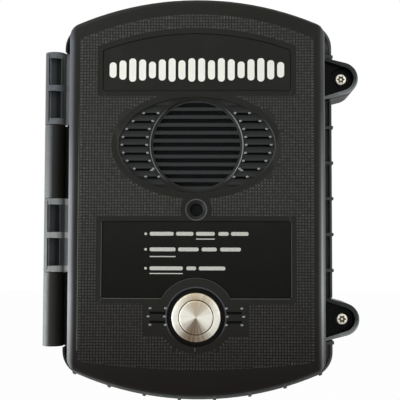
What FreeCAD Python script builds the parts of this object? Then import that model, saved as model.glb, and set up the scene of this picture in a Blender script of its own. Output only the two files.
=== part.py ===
import FreeCAD, Part
import math
import os
import re
import Sketcher

# Wall-mounted wireless call box: a moulded case with a hinged cover.
# Millimetres. X runs to the right seen from the front, Z is up, and the face looks along -Y.
# The origin is the middle of the back face. "Forward" below is the distance in front of it.

SIZES = {
    # Cutting tools run this far past the faces they cut
    "past": 1.0,
    # Arched outline of the case
    "case_width": 159.0,
    "case_height": 246.0,
    "arch_radius": 190.0,
    "corner_radius": 8.5,
    # Rear housing
    "base_depth": 55.0,
    "back_wall": 3.0,
    "side_wall": 3.0,
    "land_width": 7.5,
    "land_depth": 9.0,
    "side_reach": 7.25,
    "arch_reach": 5.8,
    "rim_corner_radius": 16.0,
    "flange_depth": 3.0,
    "flange_drop": 1.0,
    "rim_wall": 1.6,
    "rim_lift": 6.0,
    "rib_wall": 2.0,
    "rib_proud": 1.0,
    "rib_tail": 8.0,
    "rib_gap": 2.0,
    "arch_rib_pitch": 22.6,
    "side_rib_pitch": 23.1,
    "mount_span_x": 80.0,
    "mount_span_z": 220.0,
    "mount_hole_radius": 2.75,
    # Seal between the two halves
    "parting_gap": 0.4,
    "soft_gap": 0.3,
    "groove_inset": 2.6,
    "groove_width": 2.6,
    "groove_depth": 2.2,
    # Front cover
    "cover_depth": 32.6,
    "face_wall": 3.0,
    "face_round": 3.2,
    # Hinge
    "hinge_offset": 13.8,
    "hinge_lift": 2.0,
    "hinge_radius": 6.7,
    "hinge_trench": 6.4,
    "knuckle_length": 47.2,
    "knuckle_gap": 0.6,
    "knuckle_rib": 3.8,
    "knuckle_strip": 3.2,
    "window_depth": 4.2,
    "window_spread": 0.8,
    "leaf_depth": 2.0,
    "pin_radius": 1.6,
    "pin_play": 0.06,
    "pin_fit": 0.02,
    "pin_end_wall": 3.5,
    "gusset_wall": 1.6,
    "gusset_reach": 3.0,
    "gusset_pitch": 21.6,
    # Screw ears
    "ear_height": 77.0,
    "ear_reach": 13.0,
    "ear_radius": 10.5,
    "ear_half": 14.5,
    "ear_depth": 10.6,
    "ear_tail": 25.0,
    "ear_lip": 2.8,
    "ear_recess": 3.5,
    "ear_clearance": 0.8,
    "counterbore_radius": 7.2,
    "counterbore_depth": 2.6,
    # Captive cover screws
    "screw_head_radius": 4.0,
    "screw_head_depth": 2.6,
    "screw_radius": 2.0,
    "screw_root_radius": 1.65,
    "screw_play": 0.3,
    "screw_engagement": 5.0,
    "retainer_radius": 3.4,
    "retainer_depth": 0.6,
    "retainer_play": 0.1,
    "insert_radius": 3.0,
    "insert_bore_radius": 2.05,
    "insert_length": 8.5,
    "insert_sink": 0.2,
    # Top label
    "label_half_width": 58.0,
    "label_depth": 0.8,
    "label_sink": 0.4,
    "label_gap": 0.3,
    "label_corner": 1.5,
    "top_label_low": 65.4,
    "top_label_apex": 101.0,
    "top_label_arch": 167.0,
    # Instruction label
    "notch_radius": 24.6,
    "low_label_top": -15.8,
    "low_label_bottom": -62.4,
    # Speaker recess and grille
    "speaker_height": 31.6,
    "oval_half_width": 48.7,
    "oval_half_height": 29.9,
    "oval_depth": 1.4,
    "oval_backing": 2.6,
    "wing_margin": 2.4,
    "wing_drop": 0.4,
    "wing_depth": 2.2,
    "louvre_height": 1.4,
    "slat_pitch": 4.95,
    "slot_height": 2.8,
    "slot_rise": 1.6,
    "grille_radius": 28.4,
    "grille_sink": 3.2,
    "grille_wall": 2.4,
    "grille_margin": 1.2,
    "grille_chamfer": 0.6,
    "speaker_boss_radius": 31.5,
    # Loudspeaker
    "screen_depth": 0.4,
    "speaker_seal_depth": 0.8,
    "speaker_seal_width": 3.0,
    "speaker_radius": 28.0,
    "speaker_flange_depth": 1.5,
    "speaker_depth": 12.0,
    "speaker_neck_radius": 13.0,
    "speaker_wall": 0.8,
    "magnet_radius": 16.0,
    "magnet_depth": 7.0,
    "voice_cone_radius": 24.0,
    "voice_cone_depth": 7.5,
    "voice_cap_radius": 7.0,
    "clamp_screw_radius": 1.3,
    "clamp_screw_bite": 5.0,
    "clamp_head_radius": 4.6,
    "clamp_head_depth": 1.8,
    "clamp_boss_radius": 3.0,
    "clamp_circle": 32.0,
    # Microphone
    "mic_height": -8.5,
    "mic_hole_radius": 3.9,
    "mic_cone_radius": 6.3,
    "mic_cone_depth": 1.6,
    "mic_radius": 4.85,
    "mic_depth": 5.0,
    "mic_boot_wall": 2.0,
    "mic_boot_depth": 6.5,
    "mic_collar_wall": 1.5,
    # Push button
    "button_height": -74.5,
    "pocket_radius": 17.9,
    "pocket_depth": 3.0,
    "button_boss_radius": 20.5,
    "button_boss_depth": 2.0,
    "bezel_radius": 15.1,
    "bezel_lip": 0.8,
    "bezel_proud": 0.6,
    "barrel_radius": 12.4,
    "barrel_length": 22.0,
    "barrel_play": 0.2,
    "button_seal_depth": 0.8,
    "button_seal_width": 4.4,
    "cap_radius": 10.5,
    "cap_play": 0.08,
    "cap_proud": 0.3,
    "cap_depth": 8.0,
    "cap_travel": 2.0,
    "cap_stop_gap": 0.3,
    "bezel_floor": 3.0,
    "stem_radius": 4.0,
    "stem_length": 6.0,
    "nut_flats": 30.0,
    "nut_depth": 4.0,
    "switch_radius": 10.0,
    "switch_depth": 11.0,
    "blade_width": 4.4,
    "blade_wall": 0.8,
    "blade_length": 6.0,
    "blade_offset": 5.0,
    "louvre_inner": 18.8,
    "louvre_outer": 28.2,
    "louvre_pitch": 5.6,
    "louvre_depth": 1.6,
    # Radio board and what it carries
    "board_width": 100.0,
    "board_length": 80.0,
    "board_low": 15.0,
    "board_wall": 1.6,
    "board_standoff": 7.0,
    "board_boss_radius": 3.5,
    "board_margin": 5.0,
    "board_screw_radius": 1.4,
    "board_head_radius": 2.7,
    "board_head_depth": 1.8,
    "board_screw_bite": 5.0,
    "can_width": 42.0,
    "can_length": 32.0,
    "can_depth": 5.0,
    "can_wall": 0.4,
    "plug_width": 12.0,
    "plug_length": 5.5,
    "plug_depth": 7.0,
    "capacitor_radius": 5.0,
    "capacitor_length": 12.0,
    "dial_radius": 5.0,
    "dial_depth": 4.0,
    "antenna_radius": 3.2,
    "antenna_length": 62.0,
    "antenna_foot": 2.0,
    "antenna_margin": 1.0,
    # Battery tray and cells
    "cell_radius": 16.9,
    "cell_nub_radius": 4.75,
    "cell_nub_length": 1.5,
    "cell_gap": 0.8,
    "tray_gap": 5.5,
    "tray_wall": 1.5,
    "tray_floor": 1.5,
    "tray_height": 22.0,
    "tray_low": -104.4,
    "divider_half": 1.0,
    "contact_wall": 0.5,
    "contact_spring": 3.0,
    "contact_width": 20.0,
    "tray_screw_radius": 1.3,
    "tray_head_radius": 2.4,
    "tray_head_depth": 1.6,
    "tray_head_play": 0.1,
    "tray_screw_bite": 2.0,
}

# Places that follow from the sizes above
DERIVED = {
    "half_width": "case_width / 2",
    "arch_centre": "case_height / 2 - arch_radius",
    "parting": "base_depth + parting_gap",
    "face": "parting + cover_depth",
    "cover_inside": "face - face_wall",
    "flange_front": "base_depth - flange_drop",
    "flange_back": "flange_front - flange_depth",
    "rim_front": "flange_front + rim_lift",
    "hinge_x": "-(half_width + hinge_offset)",
    "hinge_forward": "base_depth + hinge_lift",
    "knuckle_step": "knuckle_length + knuckle_gap",
    "hinge_top": "2 * knuckle_step - knuckle_gap / 2",
    "screw_x": "half_width + ear_reach",
    "ear_front": "parting + ear_depth",
    "ear_floor": "ear_front - ear_recess",
    "head_seat": "ear_floor - counterbore_depth",
    "insert_front": "base_depth - insert_sink",
    "label_seat": "face - label_depth - label_sink",
    "oval_floor": "face - oval_depth",
    "grille_floor": "face - grille_sink",
    "grille_back": "grille_floor - grille_wall",
    "seal_back": "grille_back - speaker_seal_depth",
    "speaker_back": "seal_back - speaker_flange_depth",
    "pocket_floor": "face - pocket_depth",
    "button_back": "cover_inside - button_boss_depth",
    "cap_front": "face + bezel_proud + cap_proud",
    "cap_back": "cap_front - cap_depth",
    "bezel_shelf": "cap_back - cap_travel - cap_stop_gap",
    "shelf_back": "bezel_shelf - bezel_floor",
    "stem_back": "cap_back - stem_length",
    "switch_front": "stem_back - cap_travel - cap_stop_gap",
    "switch_back": "switch_front - switch_depth",
    "board_back": "back_wall + board_standoff",
    "board_front": "board_back + board_wall",
    "board_middle": "board_low + board_length / 2",
    "cell_pitch": "2 * cell_radius + cell_gap",
    "tray_back": "back_wall + tray_floor",
    "cell_forward": "tray_back + cell_radius",
    "cell_start": "divider_half + contact_wall + contact_spring",
    "tray_half": "half_width - side_wall - tray_gap - tray_wall",
    "cell_length": "tray_half - contact_wall - contact_spring - (cell_start)",
    "tray_inner_low": "tray_low + tray_wall",
    "tray_inner_height": "3 * cell_pitch",
}

WORD = re.compile(r"[a-z][a-z_]*")
ALONG_X = FreeCAD.Rotation(FreeCAD.Vector(0, 1, 0), 90)
ALONG_Z = FreeCAD.Rotation()
FORWARD = FreeCAD.Rotation(FreeCAD.Vector(1, 0, 0), 90)
ORIGIN_POINT = (-1, 1)
UPRIGHT_AXIS = -2
START, END, CENTRE = range(1, 4)

doc = FreeCAD.newDocument("CallBox")
sheet = doc.addObject("Spreadsheet::Sheet", "Sizes")
for row, (alias, number) in enumerate(SIZES.items(), 1):
    sheet.set("A%d" % row, alias.replace("_", " "))
    sheet.set("B%d" % row, str(number))
    sheet.setAlias("B%d" % row, alias)
doc.recompute()
nodes = []


def bound(text):
    """Spell a formula of size names as an expression on the sheet's cells."""
    def spell(match):
        word = match.group()
        if word in DERIVED:
            return "(" + bound(DERIVED[word]) + ")"
        return "Sizes." + word if word in SIZES else word
    return WORD.sub(spell, str(text))


def value(text):
    """Work out a formula of size names now."""
    return float(sheet.evalExpression(bound(text)))


def place(solid, x, forward, z, turn=ALONG_Z):
    solid.Placement = FreeCAD.Placement(FreeCAD.Vector(), turn)
    solid.setExpression("Placement.Base.x", bound(x))
    solid.setExpression("Placement.Base.y", bound("-(%s)" % forward))
    solid.setExpression("Placement.Base.z", bound(z))


def block(x, forward, z, width, depth, height):
    """Box between x and x + width, forward and forward + depth, z and z + height."""
    solid = doc.addObject("Part::Box", "Block")
    solid.setExpression("Length", bound(width))
    solid.setExpression("Width", bound(depth))
    solid.setExpression("Height", bound(height))
    place(solid, x, "(%s) + (%s)" % (forward, depth), z)
    return solid


def rod(x, forward, z, radius, length, turn=FORWARD):
    """Cylinder from the given point, running forward unless it is turned."""
    solid = doc.addObject("Part::Cylinder", "Rod")
    solid.setExpression("Radius", bound(radius))
    solid.setExpression("Height", bound(length))
    place(solid, x, forward, z, turn)
    return solid


def cone(x, forward, z, first_radius, last_radius, length, turn=FORWARD):
    solid = doc.addObject("Part::Cone", "Cone")
    solid.setExpression("Radius1", bound(first_radius))
    solid.setExpression("Radius2", bound(last_radius))
    solid.setExpression("Height", bound(length))
    place(solid, x, forward, z, turn)
    return solid


def fuse(parts):
    whole = doc.addObject("Part::MultiFuse", "Fused")
    whole.Shapes = parts
    whole.Refine = True
    return whole


def common(first, second):
    shared = doc.addObject("Part::MultiCommon", "Shared")
    shared.Shapes = [first, second]
    return shared


def cut(base, tools):
    rest = doc.addObject("Part::Cut", "Cut")
    rest.Base = base
    rest.Tool = tools[0] if len(tools) == 1 else fuse(tools)
    rest.Refine = True
    return rest


def ring(x, forward, z, radius, bore, length, turn=FORWARD):
    return cut(rod(x, forward, z, radius, length, turn), [rod(x, forward, z, bore, length, turn)])


def group(parts):
    """Separate solids that share one node."""
    together = doc.addObject("Part::Compound", "Group")
    together.Links = parts
    return together


def node(solid, name):
    solid.Label = name
    nodes.append(solid)
    return solid


def new_sketch(body, name, role="XZ_Plane", forward="0"):
    plane = [part for part in body.Origin.OriginFeatures if part.Role == role][0]
    sketch = body.newObject("Sketcher::SketchObject", name)
    sketch.AttachmentSupport = [(plane, "")]
    sketch.MapMode = "FlatFace"
    sketch.setExpression("AttachmentOffset.Base.z", bound(forward))
    return sketch


def measure(sketch, kind, where, text):
    """Add one dimension, bound to a formula of size names."""
    index = sketch.addConstraint(Sketcher.Constraint(kind, *where, value(text)))
    sketch.setExpression("Constraints[%d]" % index, bound(text))


def line(sketch, start, end):
    first = FreeCAD.Vector(start[0], start[1], 0)
    return sketch.addGeometry(Part.LineSegment(first, FreeCAD.Vector(end[0], end[1], 0)), False)


def arc(sketch, centre, radius, start_angle, end_angle):
    circle = Part.Circle(FreeCAD.Vector(centre[0], centre[1], 0), FreeCAD.Vector(0, 0, 1), radius)
    return sketch.addGeometry(Part.ArcOfCircle(circle, start_angle, end_angle), False)


def join(sketch, first, first_end, second, second_end, kind="Coincident"):
    sketch.addConstraint(Sketcher.Constraint(kind, first, first_end, second, second_end))


def pad(body, sketch, length, midplane=False):
    feature = body.newObject("PartDesign::Pad", "Pad")
    feature.Profile = sketch
    feature.setExpression("Length", bound(length))
    feature.Midplane = midplane
    sketch.Visibility = False
    doc.recompute()
    return feature


def pocket(body, sketch, length, forward=False):
    """Cut a sketch's outline away, towards the back unless it is turned forward."""
    before = body.Shape.Volume
    feature = body.newObject("PartDesign::Pocket", "Pocket")
    feature.Profile = sketch
    feature.Reversed = forward
    feature.setExpression("Length", bound(length))
    doc.recompute()
    if not feature.Shape.Volume < before:
        raise ValueError(body.Name + ": a pocket cuts nothing")
    return feature


def fillet(body, radius, wanted):
    """Round the edges of the body's tip that pass the test."""
    base = body.Tip
    edges = ["Edge%d" % (i + 1) for i, edge in enumerate(base.Shape.Edges) if wanted(edge)]
    feature = body.newObject("PartDesign::Fillet", "Fillet")
    feature.Base = (base, edges)
    feature.setExpression("Radius", bound(radius))
    doc.recompute()
    return feature


def runs_forward(edge):
    low, high = edge.Vertexes[0].Point, edge.Vertexes[-1].Point
    return abs(low.x - high.x) < 1e-6 and abs(low.z - high.z) < 1e-6 and abs(low.y - high.y) > 0.1


def inset(distance):
    """Formulas of the case outline moved inwards: half width, arch radius and corner radius."""
    return ["%s - (%s)" % (size, distance) for size in ("half_width", "arch_radius", "corner_radius")]


def rim_outline(growth="0"):
    """The same for the rim's outer edge, which stands out less at the arches than at the sides."""
    return ["half_width + side_reach + %s" % growth, "arch_radius + arch_reach + %s" % growth,
            "rim_corner_radius + %s" % growth]


def arched_outline(sketch, formulas):
    """Two arches, two straight sides and four round corners."""
    half, big, small = [value(formula) for formula in formulas]
    middle = value("arch_centre")
    across = half - small
    rise = math.sqrt((big - small) ** 2 - across ** 2)
    top = middle + rise
    lean = math.atan2(rise, across)
    turn = math.pi
    right = line(sketch, (half, -top), (half, top))
    arc(sketch, (across, top), small, 0, lean)
    top_arch = arc(sketch, (0, middle), big, lean, turn - lean)
    arc(sketch, (-across, top), small, turn - lean, turn)
    left = line(sketch, (-half, top), (-half, -top))
    arc(sketch, (-across, -top), small, turn, turn + lean)
    low_arch = arc(sketch, (0, -middle), big, turn + lean, 2 * turn - lean)
    arc(sketch, (across, -top), small, 2 * turn - lean, 2 * turn)
    for step in range(8):
        join(sketch, right + step, END, right + (step + 1) % 8, START, "Tangent")
    for side, sign in ((right, ""), (left, "-")):
        sketch.addConstraint(Sketcher.Constraint("Vertical", side))
        measure(sketch, "DistanceX", (*ORIGIN_POINT, side, START), "%s(%s)" % (sign, formulas[0]))
    for step in (1, 3, 5, 7):
        measure(sketch, "Radius", (right + step,), formulas[2])
    for arch, sign in ((top_arch, ""), (low_arch, "-")):
        measure(sketch, "Radius", (arch,), formulas[1])
        sketch.addConstraint(Sketcher.Constraint("PointOnObject", arch, CENTRE, UPRIGHT_AXIS))
        measure(sketch, "DistanceY", (*ORIGIN_POINT, arch, CENTRE), sign + "(arch_centre)")


def arched_prism(name, forward, depth, outlines):
    """Solid of the case outline, or a frame where a second, smaller outline is given."""
    body = doc.addObject("PartDesign::Body", name)
    sketch = new_sketch(body, name + "Outline", forward=forward)
    for formulas in outlines:
        arched_outline(sketch, formulas)
    pad(body, sketch, depth)
    return body


def ear_prism(name, height, inner, shrink, forward, depth):
    """Screw ear: a round end about the screw, with flanks that flare into the case side."""
    body = doc.addObject("PartDesign::Body", name)
    sketch = new_sketch(body, name + "Outline", forward=forward)
    radius = "ear_radius - (%s)" % shrink
    half = "ear_half - (%s)" % shrink
    x, z, r = value("screw_x"), value(height), value(radius)
    foot, rise = value(inner), value(half)
    reach = math.hypot(foot - x, rise)
    angle = math.atan2(rise, foot - x) - math.acos(r / reach)
    touch = (x + r * math.cos(angle), r * math.sin(angle))
    upper = line(sketch, (foot, z + rise), (touch[0], z + touch[1]))
    nose = arc(sketch, (x, z), r, -angle, angle)
    lower = line(sketch, (touch[0], z - touch[1]), (foot, z - rise))
    root = line(sketch, (foot, z - rise), (foot, z + rise))
    join(sketch, upper, END, nose, END, "Tangent")
    join(sketch, nose, START, lower, START, "Tangent")
    join(sketch, lower, END, root, START)
    join(sketch, root, END, upper, START)
    measure(sketch, "Radius", (nose,), radius)
    measure(sketch, "DistanceX", (*ORIGIN_POINT, nose, CENTRE), "screw_x")
    measure(sketch, "DistanceY", (*ORIGIN_POINT, nose, CENTRE), height)
    for end, sign in ((START, "-"), (END, "+")):
        measure(sketch, "DistanceX", (*ORIGIN_POINT, root, end), inner)
        measure(sketch, "DistanceY", (*ORIGIN_POINT, root, end), "%s %s (%s)" % (height, sign, half))
    pad(body, sketch, depth)
    return body


def step_cutter(name, z, first, front, back, count, pitch, length):
    """Row of bars along X, each with a four-sided section in the YZ plane.

    first holds the section's corners as pairs of formulas, forward and z from the lowest bar's line.
    """
    body = doc.addObject("PartDesign::Body", name)
    sketch = new_sketch(body, name + "Section", "YZ_Plane")
    corners = [("-(%s)" % (front if at_front else back), "%s + %s" % (z, up)) for at_front, up in first]
    places = [(value(y), value(height)) for y, height in corners]
    sides = len(corners)
    for i in range(sides):
        line(sketch, places[i], places[(i + 1) % sides])
    for i, (y, height) in enumerate(corners):
        join(sketch, i, END, (i + 1) % sides, START)
        measure(sketch, "DistanceX", (*ORIGIN_POINT, i, START), y)
        measure(sketch, "DistanceY", (*ORIGIN_POINT, i, START), height)
    bar = pad(body, sketch, length, midplane=True)
    row_of_bars = body.newObject("PartDesign::LinearPattern", name + "Row")
    row_of_bars.Originals = [bar]
    row_of_bars.Direction = (sketch, ["V_Axis"])
    row_of_bars.Occurrences = count
    row_of_bars.setExpression("Length", bound("%d * %s" % (count - 1, pitch)))
    body.Tip = row_of_bars
    doc.recompute()
    return body


def top_label_prism(name, grow, forward, depth):
    body = doc.addObject("PartDesign::Body", name)
    sketch = new_sketch(body, name + "Outline", forward=forward)
    half, low = "label_half_width + %s" % grow, "top_label_low - %s" % grow
    radius, middle = "top_label_arch + %s" % grow, "top_label_apex - top_label_arch"
    w, z, r, m = value(half), value(low), value(radius), value(middle)
    lean = math.acos(w / r)
    shoulder = m + r * math.sin(lean)
    foot = line(sketch, (-w, z), (w, z))
    right = line(sketch, (w, z), (w, shoulder))
    arch = arc(sketch, (0, m), r, lean, math.pi - lean)
    left = line(sketch, (-w, shoulder), (-w, z))
    for step in range(4):
        join(sketch, foot + step, END, foot + (step + 1) % 4, START)
    sketch.addConstraint(Sketcher.Constraint("Horizontal", foot))
    sketch.addConstraint(Sketcher.Constraint("Vertical", right))
    sketch.addConstraint(Sketcher.Constraint("Vertical", left))
    measure(sketch, "DistanceX", (*ORIGIN_POINT, foot, START), "-(%s)" % half)
    measure(sketch, "DistanceX", (*ORIGIN_POINT, foot, END), half)
    measure(sketch, "DistanceY", (*ORIGIN_POINT, foot, END), low)
    measure(sketch, "Radius", (arch,), radius)
    sketch.addConstraint(Sketcher.Constraint("PointOnObject", arch, CENTRE, UPRIGHT_AXIS))
    measure(sketch, "DistanceY", (*ORIGIN_POINT, arch, CENTRE), middle)
    pad(body, sketch, depth)
    fillet(body, "label_corner + %s" % grow, runs_forward)
    return body


def low_label_prism(name, grow, forward, depth):
    """Rectangle with an arched notch round the push button in its lower edge."""
    body = doc.addObject("PartDesign::Body", name)
    sketch = new_sketch(body, name + "Outline", forward=forward)
    half, radius = "label_half_width + %s" % grow, "notch_radius - %s" % grow
    high, low = "low_label_top + %s" % grow, "low_label_bottom - %s" % grow
    w, top, bottom, r, m = value(half), value(high), value(low), value(radius), value("button_height")
    lean = math.asin((bottom - m) / r)
    mouth = r * math.cos(lean)
    corners = [(mouth, bottom), (w, bottom), (w, top), (-w, top), (-w, bottom), (-mouth, bottom)]
    for i in range(5):
        line(sketch, corners[i], corners[i + 1])
    notch = arc(sketch, (0, m), r, lean, math.pi - lean)
    for i in range(4):
        join(sketch, i, END, i + 1, START)
    join(sketch, 4, END, notch, END)
    join(sketch, notch, START, 0, START)
    for corner, (sign, edge) in enumerate((("", low), ("", high), ("-", high), ("-", low))):
        measure(sketch, "DistanceX", (*ORIGIN_POINT, corner, END), "%s(%s)" % (sign, half))
        measure(sketch, "DistanceY", (*ORIGIN_POINT, corner, END), edge)
    sketch.addConstraint(Sketcher.Constraint("Horizontal", 0))
    sketch.addConstraint(Sketcher.Constraint("Horizontal", 4))
    measure(sketch, "Radius", (notch,), radius)
    sketch.addConstraint(Sketcher.Constraint("PointOnObject", notch, CENTRE, UPRIGHT_AXIS))
    measure(sketch, "DistanceY", (*ORIGIN_POINT, notch, CENTRE), "button_height")
    pad(body, sketch, depth)
    fillet(body, "label_corner + %s" % grow,
           lambda edge: runs_forward(edge) and abs(edge.Vertexes[0].X) > w - 0.1)
    return body


def oval_prism(grow, forward, depth):
    edge = doc.addObject("Part::Ellipse", "Oval")
    edge.setExpression("MajorRadius", bound("oval_half_width + (%s)" % grow))
    edge.setExpression("MinorRadius", bound("oval_half_height + (%s)" % grow))
    place(edge, 0, forward, "speaker_height", FORWARD)
    solid = doc.addObject("Part::Extrusion", "OvalPrism")
    solid.Base = edge
    solid.DirMode = "Custom"
    solid.Dir = FreeCAD.Vector(0, -1, 0)
    solid.setExpression("LengthFwd", bound(depth))
    solid.Solid = True
    return solid


def hex_prism(forward, z, flats, depth):
    solid = doc.addObject("Part::Prism", "Hexagon")
    solid.Polygon = 6
    solid.setExpression("Circumradius", bound("%s / sqrt(3)" % flats))
    solid.setExpression("Height", bound(depth))
    place(solid, 0, forward, z, FORWARD)
    return solid


def edge_ribs():
    """Short ribs that stiffen the flange, round the two arches and down the right side."""
    bars = []
    for step in range(-4, 5):
        if step:
            offset = "%s * arch_rib_pitch - rib_wall / 2" % (step - 0.5 * step / abs(step))
            bars.append(block(offset, 0, "-case_height", "rib_wall", "2 * base_depth", "2 * case_height"))
        low = "%d * side_rib_pitch - rib_wall / 2" % step
        bars.append(block("half_width / 2", 0, low, "case_width", "2 * base_depth", "rib_wall"))
    reach = rim_outline("rib_proud")
    back = arched_prism("RibBack", "flange_front - rib_tail", "rib_tail", [reach, inset("side_wall / 2")])
    front = arched_prism("RibFront", "flange_front", "rim_lift", [reach, inset("-rib_gap")])
    return common(fuse(bars), fuse([back, front]))


def knuckle(index, window=False):
    """One length of the hinge barrel, counted from the top."""
    low = "hinge_top - %d * knuckle_step - knuckle_length" % index
    barrel = rod("hinge_x", "hinge_forward", low, "hinge_radius", "knuckle_length", ALONG_Z)
    if not window:
        return barrel
    half = "(knuckle_length - 3 * knuckle_rib) / 2"
    width = "2 * (hinge_radius - knuckle_strip) + window_spread"
    floor = "hinge_forward + hinge_radius - window_depth"
    openings = []
    for step in range(2):
        z = "%s + knuckle_rib + %d * (%s + knuckle_rib)" % (low, step, half)
        start = "hinge_x - hinge_radius + knuckle_strip"
        openings.append(block(start, floor, z, width, "2 * window_depth", half))
    return cut(barrel, openings)


def make_rear_housing():
    shell = arched_prism("RearShell", "0", "base_depth", [inset("0")])
    inside = new_sketch(shell, "Inside", forward="back_wall")
    arched_outline(inside, inset("side_wall"))
    pocket(shell, inside, "base_depth - land_depth - back_wall", forward=True)
    mouth = new_sketch(shell, "Mouth", forward="base_depth")
    arched_outline(mouth, inset("land_width"))
    pocket(shell, mouth, "base_depth - back_wall - side_wall")
    groove = new_sketch(shell, "Groove", forward="base_depth")
    for edge in ("groove_inset", "groove_inset + groove_width"):
        arched_outline(groove, inset(edge))
    pocket(shell, groove, "groove_depth")
    flange = arched_prism("Flange", "flange_back", "flange_depth", [rim_outline(), inset("side_wall / 2")])
    rim = arched_prism("Rim", "flange_front", "rim_lift", [rim_outline(), rim_outline("-rim_wall")])
    hinge_room = "-hinge_top - knuckle_gap", "2 * (hinge_top + knuckle_gap)"
    edge = cut(fuse([flange, rim, edge_ribs()]), [
        block("-2 * case_width", 0, hinge_room[0], "1.5 * case_width - hinge_trench", "2 * base_depth",
              hinge_room[1]),
        block("-2 * case_width", "flange_front", hinge_room[0], "1.5 * case_width", "2 * rim_lift",
              hinge_room[1]),
        ear_prism("UpperSlot", "ear_height", "half_width", "-ear_clearance", "base_depth", "rim_lift"),
        ear_prism("LowerSlot", "-ear_height", "half_width", "-ear_clearance", "base_depth", "rim_lift"),
    ])
    parts = [shell, edge]
    for name, height in (("UpperBoss", "ear_height"), ("LowerBoss", "-ear_height")):
        parts.append(ear_prism(name, height, "half_width - side_wall / 2", "0",
                               "base_depth - ear_tail", "ear_tail"))
    for index in (1, 3):
        low = "hinge_top - %d * knuckle_step - knuckle_length" % index
        parts.append(knuckle(index))
        parts.append(block("hinge_x", "flange_back", low, "hinge_offset + side_wall / 2",
                           "flange_depth", "knuckle_length"))
    board_x = "board_width / 2 - board_margin"
    for x in ("-(%s)" % board_x, board_x):
        for z in ("board_low + board_margin", "board_low + board_length - board_margin"):
            post = rod(x, "back_wall - past", z, "board_boss_radius", "board_standoff + past")
            parts.append(cut(post, [rod(x, "back_wall", z, "board_screw_radius", "board_standoff")]))
    holes = [rod("hinge_x", "hinge_forward", "-hinge_top + pin_end_wall", "pin_radius + pin_fit",
                 "2 * hinge_top", ALONG_Z)]
    for x in ("-mount_span_x / 2", "mount_span_x / 2"):
        for z in ("-mount_span_z / 2", "mount_span_z / 2"):
            holes.append(rod(x, 0, z, "mount_hole_radius", "back_wall"))
    for z in ("-ear_height", "ear_height"):
        holes.append(rod("screw_x", "insert_front - insert_length", z, "insert_radius",
                         "insert_length + past"))
    for step in (1, 2):
        holes.append(rod(0, "back_wall - tray_screw_bite", "tray_inner_low + %d * cell_pitch" % step,
                         "tray_screw_radius", "tray_screw_bite"))
    node(cut(fuse(parts), holes), "rear_housing")


def make_case_seal():
    gasket = arched_prism("Gasket", "base_depth - groove_depth", "groove_depth + parting_gap - soft_gap",
                          [inset("groove_inset"), inset("groove_inset + groove_width")])
    node(gasket, "case_gasket")


def make_hinge_pin():
    node(rod("hinge_x", "hinge_forward", "-hinge_top + pin_end_wall", "pin_radius",
             "2 * hinge_top - pin_end_wall - knuckle_gap", ALONG_Z), "hinge_pin")


def make_inserts():
    inserts = []
    for z in ("ear_height", "-ear_height"):
        inserts.append(ring("screw_x", "insert_front - insert_length", z, "insert_radius",
                            "insert_bore_radius", "insert_length"))
    node(group(inserts), "threaded_inserts")


def grille_cutters():
    """The slots between the slats, kept inside the round grille."""
    slots = step_cutter(
        "Slots", "speaker_height - 5 * slat_pitch",
        [(True, "-slot_height / 2"), (True, "slot_height / 2"),
         (False, "slot_height / 2 + slot_rise"), (False, "-slot_height / 2 + slot_rise")],
        "grille_floor + past", "grille_back - past", 11, "slat_pitch", "2 * grille_radius")
    disc = rod(0, "grille_back - past", "speaker_height", "grille_radius - grille_margin",
               "grille_wall + 2 * past")
    recess = rod(0, "grille_floor", "speaker_height", "grille_radius", "grille_sink + past")
    edge = cone(0, "oval_floor - grille_chamfer", "speaker_height", "grille_radius",
                "grille_radius + 2 * grille_chamfer", "2 * grille_chamfer")
    return [common(slots, disc), recess, edge]


LOUVRE = [(True, "-louvre_height / 2"), (True, "louvre_height / 2"),
          (False, "louvre_height / 2"), (False, "-louvre_height / 2")]


def wing_cutters():
    """Nine narrow grooves in the oval recess, each side of the round grille."""
    grooves = step_cutter(
        "WingGrooves", "speaker_height - wing_drop - 4 * slat_pitch", LOUVRE,
        "oval_floor", "oval_floor - wing_depth", 9, "slat_pitch", "2 * oval_half_width")
    middle = rod(0, "oval_floor - 2 * wing_depth", "speaker_height", "grille_radius + wing_margin",
                 "3 * wing_depth")
    field = cut(oval_prism("-wing_margin", "oval_floor - 2 * wing_depth", "3 * wing_depth"), [middle])
    return [oval_prism("0", "oval_floor", "oval_depth + past"), common(grooves, field)]


def louvre_cutters():
    """Two short grooves each side of the push button."""
    grooves = step_cutter(
        "ButtonGrooves", "button_height - louvre_pitch / 2", LOUVRE,
        "face", "face - louvre_depth", 2, "louvre_pitch", "2 * louvre_outer")
    gap = block("-louvre_inner", "face - 2 * louvre_depth", "button_height - 2 * louvre_pitch",
                "2 * louvre_inner", "3 * louvre_depth", "4 * louvre_pitch")
    return [cut(grooves, [gap])]


def cover_ear(name, height):
    outer = ear_prism(name + "Ear", height, "half_width - side_wall / 2", "0", "parting", "ear_depth")
    tools = [
        ear_prism(name + "Recess", height, "half_width + ear_lip / 2", "ear_lip", "ear_floor",
                  "ear_recess + past"),
        rod("screw_x", "head_seat", height, "counterbore_radius", "counterbore_depth + past"),
        rod("screw_x", "parting - past", height, "screw_radius + screw_play", "ear_depth"),
        rod("screw_x", "parting - past", height, "retainer_radius + screw_play",
            "retainer_depth + screw_play + past"),
    ]
    return cut(outer, tools)


def clamp_places():
    """Angles of the three screws that hold the loudspeaker, from the top."""
    for angle in (0, 120, 240):
        yield ("clamp_circle * sin(%d deg)" % angle, "speaker_height + clamp_circle * cos(%d deg)" % angle)


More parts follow.
